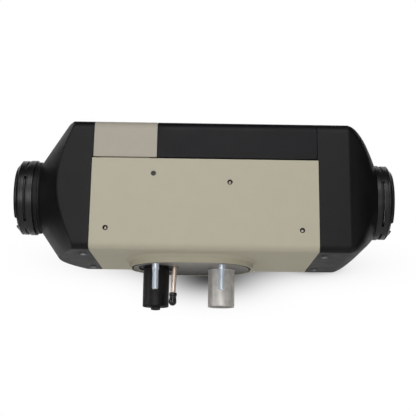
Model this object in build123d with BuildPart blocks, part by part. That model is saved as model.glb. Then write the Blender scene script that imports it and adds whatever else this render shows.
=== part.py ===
from build123d import *
import math
import os

# Diesel air heater: a ducted parking heater that stands on a mounting flange.
# Millimetres, +Z up. X runs along the heater with the cold-air inlet at -X,
# the seen side is -Y, and the origin is the centre of the four flange studs
# on the flange's lower face.

# ---- driving dimensions: body --------------------------------------------
overall_length = 371.0  # over both duct collars
body_middle = 14.0  # middle of that length, from the stud centre
duct_axis_height = 70.0  # fan and duct axis above the flange face
floor_height = 8.0  # underside of the moulded body
foot_half_width = 71.5  # sharp lower corner, before rounding
side_lean = 3.1  # degrees, each side leans in toward the top
shoulder_rise = 62.6  # duct axis to the sharp upper corner, before rounding
crown_rise = 3.9  # top cover's arch above its corners
foot_fillet = 7.0
shoulder_fillet = 10.0
wall = 2.5  # moulded walls

shell_left = -92.2  # lower shell ends, along X
shell_right = 121.1
cover_step = 1.1  # the upper covers end this much short of the lower shell
seam_gap = 0.5  # shut line between two moulded covers
service_split = -31.2  # line between service cover and long cover
shell_top_rise = 25.7  # duct axis to the upper edge of the lower shell
cover_gap = 1.2  # dark line between lower shell and covers
cover_corner = 3.0  # long cover's lower corner beside the outlet hood
skirt_drop = 6.0  # how far a cover reaches down inside the shell
skirt_wall = 1.8
skirt_ledge = 4.0
skirt_fit = 0.3  # clearance between a skirt and the wall outside it

# ---- driving dimensions: hoods and duct collars -----------------------------
inlet_cone_slope = 1.43  # radius gained per millimetre of length
inlet_neck_radius = 35.4
inlet_neck_reach = 24.6  # collar's end to the foot of the cone
crease_fillet = 1.2
outlet_draw_length = 31.6  # the outlet hood draws in over this length
outlet_mouth_reach = 17.9  # collar's end to the face of the outlet hood
outlet_mouth_radius = 38.0
outlet_swell = 1.6  # exponent of the draw-in curve
outlet_stations = 7
outlet_crown_end = 0.4  # flat left where the outline is nearly round
duct_bore = 31.5
spigot_wall = 2.9
inlet_spigot_length = 6.5
outlet_spigot_length = 8.0
outlet_collar_gap = 0.6
shoulder_ring_radius = 35.9
shoulder_ring_width = 2.9
neck_groove_width = 2.0
neck_groove_depth = 1.0
collar_radius = 37.4
collar_band_setback = 13.2  # from the collar's end to its plain band
collar_band_step = 0.45
collar_lip_radius = 33.0
collar_gap = 1.3  # groove between inlet neck and collar
collar_shoulder_radius = 34.4
collar_shoulder_setback = 4.6
collar_lip_length = 2.6
collar_lip_wall = 2.4
collar_lip_round = 1.5
collar_fit = 0.2
window_width = 2.3
window_arc = 74.0
window_count = 4
window_middle_angle = 194.0
window_setback = 9.9  # from the collar's end to the window
lip_slot_width = 1.7
lip_slot_depth = 1.1
lip_slot_setback = 4.9
entry_notch_arc = 26.0
entry_notch_depth = 2.4
entry_notch_angle = -62.0
entry_notch_count = 2
grille_width = 2.2
grille_bar_width = 1.7
grille_rings = 3
grille_spokes = 6
grille_fit = 0.15

# ---- driving dimensions: flange, pipes and studs ----------------------------
plate_length = 113.0
plate_width = 85.0
plate_corner = 38.0
plate_thickness = 6.0
plate_centre = 2.2
boss_gap = 2.0
boss_lip = 2.0
boss_rise = 0.2  # boss edge above the flange face
boss_draft = 6.0  # degrees, the boss wall's lean
boss_root = 5.0  # above the flange face, where the wall turns out into the floor
plate_fit = 0.3  # flange plate to the floor that rests on it
boss_flare = 46.0  # degrees, from there to the floor
stud_pitch_x = 63.0
stud_pitch_y = 70.0
stud_radius = 3.0
stud_drop = 24.0
stud_seat = 5.0
stud_root_radius = 3.4  # where it sits in the plate
stud_fit = 0.05
plate_dimple_x = -10.1
plate_dimple_y = -24.0
plate_dimple_radius = 1.3
intake_x = -32.3
intake_radius = 12.8
intake_root_radius = 12.0  # above its collar
intake_drop = 37.6
intake_bore = 10.4
intake_top = 24.0
intake_seat_length = 32.4  # oblong seat round the pipe, in the plate's opening
intake_seat_near = -28.0
intake_seat_far = 15.2
intake_seat_corner = 13.0
intake_seat_base = 1.2
intake_seat_thickness = 2.4
intake_opening_fit = 0.6
exhaust_x = 32.0
exhaust_radius = 13.0
exhaust_drop = 36.9
exhaust_bore = 11.0
exhaust_flare = 0.6
exhaust_flare_height = 1.8
fuel_x = -13.9  # where the fuel line crosses the flange face
fuel_y = -14.0
fuel_radius = 2.35
fuel_bore = 1.2
fuel_lean = 2.3  # degrees from plumb, foot toward -X
fuel_opening = 4.4
cap_radius = 3.35
cap_top = -25.0
cap_end = -37.7
cap_fit = 0.05
plug_grip_width = 9.2
plug_grip_depth = 4.6
plug_grip_drop = 3.4
plug_seat = 5.0
plug_fit = 0.1

# ---- driving dimensions: heat exchanger and burner --------------------------
exchanger_left = -18.0  # face that the burner bolts to
exchanger_right = 104.0
exchanger_radius = 34.0
exchanger_bore = 29.0
exchanger_dome = 12.0
end_flange_radius = 40.0
end_flange_width = 8.0
fin_count = 28
fin_thickness = 2.2
fin_clearance = 9.5  # from the body's outer face
fin_setback = 6.0
neck_left = -6.0
neck_length = 56.0
neck_width = 54.0
neck_corner = 16.0
neck_fit = 3.0
burner_flange_width = 2.5
gasket_width = 1.0
burner_tube_radius = 25.0
burner_tube_wall = 1.5
burner_tube_length = 78.0
burner_hole_radius = 2.0
burner_hole_count = 10
burner_hole_rows = 3
burner_hole_pitch = 9.0
flame_port_radius = 14.0
glow_plug_x = 2.0
glow_plug_radius = 5.0
glow_plug_thread = 4.0
glow_pad_margin = 1.5
glow_plug_length = 24.0
glow_plug_hex = 7.0
glow_plug_hex_height = 5.0
glow_plug_pin_radius = 1.8
glow_plug_pin_length = 6.0
sensor_x = 72.0
sensor_pad_length = 16.0
sensor_pad_width = 14.0
sensor_pad_rise = 5.0
sensor_radius = 3.0
sensor_length = 12.0
clip_wall = 0.8
clip_width = 6.0

# ---- driving dimensions: blower and motor -----------------------------------
blower_radius = 36.0
blower_width = 34.5
blower_wall = 3.0
blower_cavity_depth = 18.0
blower_boss_radius = 12.9
blower_cover_width = 4.0
blower_lug_radius = 4.5
blower_lug_distance = 34.0
blower_screw_radius = 2.0
blower_screw_head = 3.6
blower_screw_head_height = 2.2
blower_screw_count = 4
motor_radius = 21.0
motor_length = 28.0
motor_edge = 2.0
motor_nose_radius = 8.0
motor_nose_length = 2.5
bearing_radius = 5.0
bearing_width = 2.0
shaft_radius = 2.5
shaft_fit = 0.05
press_fit = 0.01
shaft_end_gap = 3.0
impeller_radius = 30.0
impeller_width = 11.0
impeller_disc = 2.0
impeller_hub_radius = 8.0
impeller_blades = 16
impeller_blade_thickness = 1.4
impeller_sweep = 24.0  # degrees
impeller_gap = 2.0
fan_floor_gap = 10.0  # blade tip to the underside of the body
fan_hub_radius = 17.0
fan_width = 16.0
fan_gap = 2.0
fan_blades = 9
fan_blade_thickness = 1.6
fan_pitch = 38.0  # degrees of blade pitch at the root
fan_twist = 16.0  # degrees flatter at the tip
fan_chord = 20.0
fan_tip_chord = 27.0
fan_nose = 5.0
fan_clip_radius = 5.0
fan_clip_width = 1.4
guide_gap = 1.3  # blade tip to shroud
guide_ring = 2.4
guide_plate = 2.4
guide_struts = 4
guide_strut_width = 5.0
guide_motor_fit = 0.2
guide_motor_ring = 3.0
guide_hold = 8.0  # length of motor that the guide's ring grips
guide_lap = 4.9  # plate edge, in from the body's outer face

# ---- driving dimensions: electrics and fasteners ----------------------------
unit_length = 46.0
unit_width = 64.0
unit_height = 16.0
unit_corner = 4.0
unit_lid = 2.0
unit_lid_overhang = 1.0
unit_gap = 0.3
unit_pad_half = 12.0
unit_ribs = 5
socket_length = 9.0
socket_width = 34.0
socket_height = 9.0
socket_wall = 1.4
socket_pin_radius = 0.7
socket_pins = 6
grommet_x = -70.0
grommet_rise = 5.0  # above the duct axis
grommet_radius = 8.0
grommet_flange = 2.0
grommet_flange_width = 1.6
grommet_hole = 4.0
grommet_fit = 0.1
side_screw_x = 91.2  # either side of the body's middle
side_screw_z = 28.0
middle_screw_x = 37.8
middle_screw_rise = 3.4  # above the duct axis
side_plug_x = -34.1
side_plug_rise = 11.0  # above the duct axis
recess_radius = 2.5
recess_depth = 3.2
recess_boss_radius = 5.0
recess_boss_depth = 6.0
side_screw_radius = 1.4
side_screw_head = 2.2
side_screw_head_height = 1.6
hood_screw_inset = 7.2  # from the hood's edge
hood_screw_y = 42.5
hood_screw_radius = 1.6
hood_boss_radius = 4.2
hood_screw_head = 2.8
hood_screw_head_height = 1.4
tongue_width = 12.0
tongue_length = 14.0
tongue_root = 10.0
tongue_thickness = 2.5
tongue_gap = 0.3
tongue_margin = 1.0
screw_fit = 0.1

# ---- worked out from the driving dimensions ---------------------------------
lean_run = math.tan(math.radians(side_lean))
shoulder_height = duct_axis_height + shoulder_rise
shell_top = duct_axis_height + shell_top_rise
shoulder_half_width = foot_half_width - (shoulder_height - floor_height) * lean_run
crown_height = shoulder_height + crown_rise
duct_axis = Axis((0, 0, duct_axis_height), (1, 0, 0))
cover_left = shell_left + cover_step
cover_right = shell_right - cover_step
cover_foot = shell_top + cover_gap
inlet_seam = shell_left - seam_gap
outlet_seam = shell_right + seam_gap
skirt_inset = wall + skirt_fit
skirt_inner = skirt_inset + skirt_wall
inlet_end = body_middle - overall_length / 2
outlet_end = body_middle + overall_length / 2
inlet_neck_start = inlet_end + inlet_neck_reach
outlet_mouth = outlet_end - outlet_mouth_reach
outlet_flat_end = outlet_mouth - outlet_draw_length
neck_end = inlet_neck_start + wall  # the neck runs this far into the cone
shoulder_ring_right = inlet_neck_start - neck_groove_width
shoulder_ring_left = shoulder_ring_right - shoulder_ring_width
inlet_collar_right = shoulder_ring_left - collar_gap
inlet_spigot_end = shoulder_ring_left - inlet_spigot_length
outlet_spigot_end = outlet_mouth + outlet_spigot_length
outlet_collar_left = outlet_mouth + outlet_collar_gap
spigot_radius = duct_bore + spigot_wall
plate_top = plate_thickness
neck_top = duct_axis_height - exchanger_radius / 2
pad_height = duct_axis_height + exchanger_radius + sensor_pad_rise
floor_opening_left = intake_x - intake_seat_length / 2 - neck_fit
floor_opening_right = neck_left + neck_length + neck_fit
tongue_bottom = floor_height + skirt_inner + tongue_gap
overcut = 1.0  # cutting bodies run this far past a face
burner_flange_left = exchanger_left - burner_flange_width
blower_right = burner_flange_left - gasket_width
blower_left = blower_right - blower_width
blower_cover_left = blower_left - blower_cover_width
motor_left = blower_cover_left - motor_length
motor_nose_left = motor_left - motor_nose_length
fan_right = motor_nose_left - fan_gap
fan_left = fan_right - fan_width
fan_radius = duct_axis_height - floor_height - fan_floor_gap
fin_reach = duct_axis_height + foot_half_width  # past the body's corners, then trimmed to it
grommet_z = duct_axis_height + grommet_rise
middle_screw_z = duct_axis_height + middle_screw_rise
side_plug_z = duct_axis_height + side_plug_rise
impeller_left = blower_left + impeller_gap
shaft_right = impeller_left + impeller_width
unit_bottom = duct_axis_height + blower_radius + unit_gap
unit_right = blower_right - blower_wall
unit_left = unit_right - unit_length
hood_screw_xs = (inlet_seam - hood_screw_inset, outlet_seam + hood_screw_inset)
side_screws = (
    (body_middle - side_screw_x, side_screw_z),
    (body_middle + side_screw_x, side_screw_z),
    (middle_screw_x, middle_screw_z),
)


# ---- shared outlines ----------------------------------------------------------
def side_half_width(height):
    """Half width of the body at a height above the flange face."""
    return foot_half_width - (height - floor_height) * lean_run


def body_outline(station, inset=0.0):
    """Body outline across the duct axis, drawn in by inset."""
    with BuildSketch(Plane.YZ.offset(station)) as outline:
        with BuildLine():
            Line((-foot_half_width, floor_height), (foot_half_width, floor_height))
            Line((foot_half_width, floor_height), (shoulder_half_width, shoulder_height))
            ThreePointArc(
                (shoulder_half_width, shoulder_height),
                (0, crown_height),
                (-shoulder_half_width, shoulder_height),
            )
            Line((-shoulder_half_width, shoulder_height), (-foot_half_width, floor_height))
        make_face()
        fillet(outline.vertices().group_by(Axis.Y)[0], radius=foot_fillet)
        fillet(outline.vertices().group_by(Axis.Y)[-1], radius=shoulder_fillet)
        if inset > 0:
            offset(amount=-inset)
    return outline.sketch


def extrude_body(left, right, inset=0.0, mode=Mode.ADD):
    """Length of the body outline, from one station to the other."""
    extrude(body_outline(left, inset), amount=right - left, mode=mode)


def turn_profile(points, mode=Mode.ADD):
    """Piece turned on the duct axis, from points of station and radius."""
    with BuildSketch(Plane.XZ) as profile:
        with BuildLine():
            Polyline(*[(x, duct_axis_height + r) for x, r in points], close=True)
        make_face()
    revolve(profile.sketch, axis=duct_axis, mode=mode)


def plate_outline(height, margin=0.0):
    """Flange plate outline at a height, widened by margin."""
    with BuildSketch(Plane.XY.offset(height)) as outline:
        with Locations((plate_centre, 0)):
            RectangleRounded(
                plate_length + 2 * margin,
                plate_width + 2 * margin,
                plate_corner + margin,
            )
    return outline.sketch


def seat_outline(height, margin=0.0):
    """Outline of the intake pipe's oblong seat at a height, widened by margin."""
    with BuildSketch(Plane.XY.offset(height)) as outline:
        with Locations((intake_x, (intake_seat_near + intake_seat_far) / 2)):
            RectangleRounded(
                intake_seat_length + 2 * margin,
                intake_seat_far - intake_seat_near + 2 * margin,
                intake_seat_corner + margin,
            )
    return outline.sketch


def side_plane(side, x, height, depth=0.0):
    """Plane on the body's leaning side, facing out, depth below the surface."""
    tilt = math.radians(side_lean)
    out = Vector(0, side * math.cos(tilt), math.sin(tilt))
    foot = Vector(x, side * side_half_width(height), height)
    return Plane(origin=foot - out * depth, x_dir=(1, 0, 0), z_dir=out)


def duct_plane(station):
    """Plane across the duct, centred on its axis."""
    return Plane(origin=(station, 0, duct_axis_height), x_dir=(0, 1, 0), z_dir=(1, 0, 0))


def add_body_ring(left, right, outer_inset, inner_inset, low, high):
    """Part of a thin ring inside the body outline, between two heights."""
    with BuildPart(mode=Mode.PRIVATE) as ring:
        extrude_body(left, right, inset=outer_inset)
        extrude_body(left, right, inset=inner_inset, mode=Mode.SUBTRACT)
        split(bisect_by=Plane.XY.offset(low), keep=Keep.TOP)
        split(bisect_by=Plane.XY.offset(high), keep=Keep.BOTTOM)
    return ring.part


def cut_screw_bosses(station):
    """Two bored bosses on the floor, where a hood is screwed to its tongues."""
    places = ((station, -hood_screw_y), (station, hood_screw_y))
    with BuildSketch(Plane.XY.offset(floor_height)) as bosses:
        with Locations(places):
            Circle(hood_boss_radius)
    extrude(bosses.sketch, amount=tongue_bottom - tongue_gap - floor_height)
    with BuildSketch(Plane.XY.offset(floor_height)) as bores:
        with Locations(places):
            Circle(hood_screw_radius + screw_fit)
    extrude(bores.sketch, amount=tongue_bottom - floor_height, mode=Mode.SUBTRACT)


# ---- lower shell ----------------------------------------------------------------
with BuildPart() as lower_shell:
    extrude_body(shell_left, shell_right)
    # the flared boss that reaches down round the flange plate
    boss = plate_outline(boss_rise, boss_gap + boss_lip)
    extrude(boss, amount=boss_root - boss_rise, taper=-boss_draft)
    root_margin = boss_gap + boss_lip + (boss_root - boss_rise) * math.tan(math.radians(boss_draft))
    boss = plate_outline(boss_root, root_margin)
    extrude(boss, amount=floor_height + wall / 2 - boss_root, taper=-boss_flare)
    extrude_body(shell_left - overcut, shell_right + overcut, inset=wall, mode=Mode.SUBTRACT)
    split(bisect_by=Plane.XY.offset(shell_top), keep=Keep.BOTTOM)
    extrude(plate_outline(0, boss_gap), amount=plate_top + plate_fit, mode=Mode.SUBTRACT)
    with BuildSketch(Plane.XY):
        with Locations(((floor_opening_left + floor_opening_right) / 2, 0)):
            RectangleRounded(
                floor_opening_right - floor_opening_left,
                neck_width + 2 * neck_fit,
                neck_corner + neck_fit,
            )
    extrude(amount=floor_height + 2 * wall, mode=Mode.SUBTRACT)
    # recessed screw bosses in both sides, and one that a plug closes
    for side in (-1, 1):
        for x, height in side_screws:
            with BuildSketch(side_plane(side, x, height, recess_boss_depth)):
                Circle(recess_boss_radius)
            extrude(amount=recess_boss_depth - wall / 2)
            with BuildSketch(side_plane(side, x, height, recess_depth)):
                Circle(recess_radius)
            extrude(amount=recess_depth + overcut, mode=Mode.SUBTRACT)
            with BuildSketch(side_plane(side, x, height, recess_boss_depth)):
                Circle(side_screw_radius + screw_fit)
            extrude(amount=recess_boss_depth, mode=Mode.SUBTRACT)
    with BuildSketch(side_plane(-1, side_plug_x, side_plug_z, wall + overcut)):
        Circle(recess_radius)
    extrude(amount=wall + 2 * overcut, mode=Mode.SUBTRACT)
    with BuildSketch(side_plane(1, grommet_x, grommet_z, wall + overcut)):
        Circle(grommet_radius)
    extrude(amount=wall + 2 * overcut, mode=Mode.SUBTRACT)
    # tongues that the hoods are screwed to
    for end, screw_x in zip((shell_left, shell_right), hood_screw_xs):
        inward = math.copysign(1, body_middle - end)
        root = end + inward * (skirt_drop + tongue_margin + tongue_root)
        foot = end + inward * (skirt_drop + tongue_margin)
        tip = screw_x - inward * tongue_length / 2
        with BuildSketch(Plane.XY.offset(tongue_bottom)):
            for y in (-hood_screw_y, hood_screw_y):
                with Locations(((root + tip) / 2, y)):
                    Rectangle(abs(root - tip), tongue_width)
        extrude(amount=tongue_thickness)
        with BuildSketch(Plane.XY.offset(floor_height + wall / 2)):
            for y in (-hood_screw_y, hood_screw_y):
                with Locations(((root + foot) / 2, y)):
                    Rectangle(tongue_root, tongue_width)
        extrude(amount=tongue_bottom + tongue_thickness / 2 - floor_height - wall / 2)
        with BuildSketch(Plane.XY.offset(tongue_bottom)):
            with Locations((screw_x, -hood_screw_y), (screw_x, hood_screw_y)):
                Circle(hood_screw_radius + screw_fit)
        extrude(amount=tongue_thickness, mode=Mode.SUBTRACT)
lower_shell.part.label = "lower_shell"


# ---- upper covers ---------------------------------------------------------------
def build_cover(left, right, skirt_left, skirt_right):
    """Arched cover over a length of the shell, with its two inner skirts."""
    low = cover_foot - skirt_drop
    high = cover_foot + skirt_ledge
    with BuildPart() as cover:
        extrude_body(left, right)
        extrude_body(left - overcut, right + overcut, inset=wall, mode=Mode.SUBTRACT)
        split(bisect_by=Plane.XY.offset(cover_foot), keep=Keep.TOP)
        add(add_body_ring(skirt_left, skirt_right, skirt_inset, skirt_inner, low, high))
        add(add_body_ring(skirt_left, skirt_right, wall / 2, skirt_inner, cover_foot, high))
    return cover


service_cover = build_cover(
    cover_left,
    service_split - seam_gap / 2,
    shell_left + skirt_drop + tongue_margin,
    service_split - skirt_drop - tongue_margin,
)
service_cover.part.label = "service_cover"

with BuildPart() as upper_cover:
    add(
        build_cover(
            service_split + seam_gap / 2,
            cover_right,
            service_split + skirt_drop + tongue_margin,
            shell_right - skirt_drop - tongue_margin,
        ).part
    )
    # the lap that the service cover rests on
    add(
        add_body_ring(
            service_split - skirt_drop,
            service_split + skirt_drop,
            skirt_inset,
            skirt_inner,
            cover_foot,
            crown_height,
        )
    )
    add(
        add_body_ring(
            service_split + seam_gap / 2,
            service_split + skirt_drop,
            wall / 2,
            skirt_inner,
            cover_foot,
            crown_height,
        )
    )
    corners = upper_cover.edges().filter_by(Axis.Y).filter_by_position(
        Axis.X, cover_right - skirt_fit, cover_right + skirt_fit
    )
    fillet(corners.filter_by_position(Axis.Z, shell_top, cover_foot + skirt_fit), cover_corner)
upper_cover.part.label = "upper_cover"


# ---- inlet hood -------------------------------------------------------------------
cone_wall = wall * math.sqrt(1 + inlet_cone_slope**2)
cone_run = inlet_seam + overcut - inlet_neck_start
cone_rise = cone_run * inlet_cone_slope
cavity_start = inlet_neck_start + (duct_bore - inlet_neck_radius + cone_wall) / inlet_cone_slope

with BuildPart() as inlet_cavity:
    extrude_body(cavity_start, inlet_seam + overcut, inset=wall)
    turn_profile(
        (
            (cavity_start, 0),
            (cavity_start, duct_bore),
            (inlet_seam + overcut, inlet_neck_radius + cone_rise - cone_wall),
            (inlet_seam + overcut, 0),
        ),
        Mode.INTERSECT,
    )

with BuildPart() as inlet_hood:
    extrude_body(inlet_neck_start, inlet_seam)
    turn_profile(
        (
            (inlet_neck_start, 0),
            (inlet_neck_start, inlet_neck_radius),
            (inlet_seam + overcut, inlet_neck_radius + cone_rise),
            (inlet_seam + overcut, 0),
        ),
        Mode.INTERSECT,
    )
    crease = inlet_hood.edges().filter_by(GeomType.LINE, reverse=True)
    fillet(crease.filter_by(GeomType.CIRCLE, reverse=True), radius=crease_fillet)
    turn_profile(
        (
            (inlet_spigot_end, 0),
            (inlet_spigot_end, spigot_radius),
            (shoulder_ring_left, spigot_radius),
            (shoulder_ring_left, shoulder_ring_radius),
            (shoulder_ring_right, shoulder_ring_radius),
            (shoulder_ring_right, inlet_neck_radius - neck_groove_depth),
            (inlet_neck_start, inlet_neck_radius - neck_groove_depth),
            (inlet_neck_start, inlet_neck_radius),
            (neck_end, inlet_neck_radius),
            (neck_end, 0),
        )
    )
    add(inlet_cavity.part, mode=Mode.SUBTRACT)
    with BuildSketch(duct_plane(inlet_spigot_end)):
        Circle(duct_bore)
    extrude(amount=cavity_start + overcut - inlet_spigot_end, mode=Mode.SUBTRACT)
    # the edge steps in above the shell's top, and a skirt reaches inside
    add(add_body_ring(inlet_seam, inlet_seam + cover_step, 0, wall, cover_foot, crown_height))
    add(add_body_ring(inlet_seam - skirt_ledge, inlet_seam, wall / 2, skirt_inner, 0, crown_height))
    add(
        add_body_ring(
            inlet_seam - skirt_ledge,
            inlet_seam + skirt_drop,
            skirt_inset,
            skirt_inner,
            0,
            crown_height,
        )
    )
    cut_screw_bosses(inlet_seam - hood_screw_inset)
inlet_hood.part.label = "inlet_hood"


# ---- outlet hood ------------------------------------------------------------------
def between(start, end, share):
    """Value that lies share of the way from start to end."""
    return start + (end - start) * share


def outlet_outline(station, inset=0.0):
    """Outlet hood outline, which turns from the body's into the round mouth."""
    share = (station - outlet_flat_end) / (outlet_mouth - outlet_flat_end)
    share = share**outlet_swell
    foot = between(foot_half_width, outlet_mouth_radius, share)
    shoulder = between(shoulder_half_width, outlet_mouth_radius, share)
    low = between(floor_height, duct_axis_height - outlet_mouth_radius, share)
    high = between(shoulder_height, duct_axis_height + outlet_mouth_radius, share)
    crown = between(crown_rise, outlet_crown_end, share)
    round_end = outlet_mouth_radius - outlet_crown_end
    with BuildSketch(Plane.YZ.offset(station)) as outline:
        with BuildLine():
            Line((-foot, low), (foot, low))
            Line((foot, low), (shoulder, high))
            ThreePointArc((shoulder, high), (0, high + crown), (-shoulder, high))
            Line((-shoulder, high), (-foot, low))
        make_face()
        lower = between(foot_fillet, round_end, share)
        upper = between(shoulder_fillet, round_end, share)
        fillet(outline.vertices().group_by(Axis.Y)[0], radius=lower)
        fillet(outline.vertices().group_by(Axis.Y)[-1], radius=upper)
        if inset > 0:
            offset(amount=-inset)
    return outline.sketch


def add_outlet_shape(left, inset=0.0):
    """Straight box from a station, then the drawn-in end."""
    extrude_body(left, outlet_flat_end, inset)
    reach = outlet_mouth - inset - outlet_flat_end
    steps = [outlet_flat_end + reach * i / (outlet_stations - 1) for i in range(outlet_stations)]
    loft([outlet_outline(station, inset) for station in steps])


with BuildPart() as outlet_cavity:
    add_outlet_shape(outlet_seam - overcut, wall)

with BuildPart() as outlet_hood:
    add_outlet_shape(outlet_seam)
    add(outlet_cavity.part, mode=Mode.SUBTRACT)
    with BuildSketch(duct_plane(outlet_mouth - wall)):
        Circle(spigot_radius)
    extrude(amount=wall + outlet_spigot_length)
    with BuildSketch(duct_plane(outlet_mouth - wall - overcut)):
        Circle(duct_bore)
    extrude(amount=wall + outlet_spigot_length + 2 * overcut, mode=Mode.SUBTRACT)
    add(add_body_ring(outlet_seam - cover_step, outlet_seam, 0, wall, cover_foot, crown_height))
    add(add_body_ring(outlet_seam, outlet_seam + skirt_ledge, wall / 2, skirt_inner, 0, crown_height))
    add(
        add_body_ring(
            outlet_seam - skirt_drop,
            outlet_seam + skirt_ledge,
            skirt_inset,
            skirt_inner,
            0,
            crown_height,
        )
    )
    cut_screw_bosses(outlet_seam + hood_screw_inset)
outlet_hood.part.label = "outlet_hood"


# ---- duct collars -----------------------------------------------------------------
def build_collar(end, seat):
    """Duct collar from its open end to the seat on its hood, with slots and notches."""
    inward = math.copysign(1, seat - end)
    bore = spigot_radius + collar_fit
    lip_bore = collar_lip_radius - collar_lip_wall
    lip = end + inward * collar_lip_length
    shoulder = end + inward * collar_shoulder_setback
    band = end + inward * collar_band_setback
    window = end + inward * (window_setback + window_width / 2)
    slot = end + inward * (lip_slot_setback + lip_slot_width / 2)
    with BuildPart() as collar:
        turn_profile(
            (
                (end, lip_bore),
                (end, collar_lip_radius - collar_lip_round),
                (end + inward * collar_lip_round, collar_lip_radius),
                (lip, collar_lip_radius),
                (lip, collar_shoulder_radius),
                (shoulder, collar_radius - collar_band_step),
                (band, collar_radius - collar_band_step),
                (band, collar_radius),
                (seat, collar_radius),
                (seat, bore),
                (shoulder, bore),
                (lip, lip_bore),
            )
        )
        for i in range(window_count):
            middle = math.radians(window_middle_angle + i * 360 / window_count)
            with BuildSketch(duct_plane(window - window_width / 2)):
                with BuildLine():
                    reach = 2 * collar_radius
                    half = math.radians(window_arc / 2)
                    Polyline(
                        (0, 0),
                        (reach * math.cos(middle - half), reach * math.sin(middle - half)),
                        (reach * math.cos(middle), reach * math.sin(middle)),
                        (reach * math.cos(middle + half), reach * math.sin(middle + half)),
                        close=True,
                    )
                make_face()
            extrude(amount=window_width, mode=Mode.SUBTRACT)
        with BuildSketch(duct_plane(slot - lip_slot_width / 2)):
            Circle(collar_radius + overcut)
            Circle(collar_radius - lip_slot_depth, mode=Mode.SUBTRACT)
        extrude(amount=lip_slot_width, mode=Mode.SUBTRACT)
        for i in range(entry_notch_count):
            middle = math.radians(180 - entry_notch_angle + i * 360 / entry_notch_count)
            half = math.radians(entry_notch_arc / 2)
            reach = 2 * collar_radius
            with BuildSketch(duct_plane(end)):
                with BuildLine():
                    Polyline(
                        (0, 0),
                        (reach * math.cos(middle - half), reach * math.sin(middle - half)),
                        (reach * math.cos(middle + half), reach * math.sin(middle + half)),
                        close=True,
                    )
                make_face()
            extrude(amount=inward * entry_notch_depth, mode=Mode.SUBTRACT)
    return collar


inlet_collar = build_collar(inlet_end, inlet_collar_right)
inlet_collar.part.label = "inlet_collar"
outlet_collar = build_collar(outlet_end, outlet_collar_left)
outlet_collar.part.label = "outlet_collar"


def build_grille(station):
    """Guard of rings and spokes that fits the duct bore."""
    rim = duct_bore - grille_fit
    with BuildPart() as grille:
        with BuildSketch(duct_plane(station)):
            for i in range(grille_rings + 1):
                outer = rim * (i + 1) / (grille_rings + 1)
                Circle(outer)
                Circle(outer - grille_bar_width, mode=Mode.SUBTRACT)
            with PolarLocations(rim / 2, grille_spokes):
                Rectangle(rim - grille_bar_width, grille_bar_width)
        extrude(amount=grille_width)
    return grille


inlet_grille = build_grille(inlet_spigot_end + grille_width)
inlet_grille.part.label = "inlet_grille"
outlet_grille = build_grille(outlet_spigot_end - 2 * grille_width)
outlet_grille.part.label = "outlet_grille"


# ---- heat exchanger: one aluminium casting with its flange and exhaust stub ---------
fuel_near = abs(fuel_y) - fuel_radius  # edge of the line nearest the middle
fuel_top = duct_axis_height - math.sqrt(end_flange_radius**2 - fuel_near**2) - plate_fit

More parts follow.
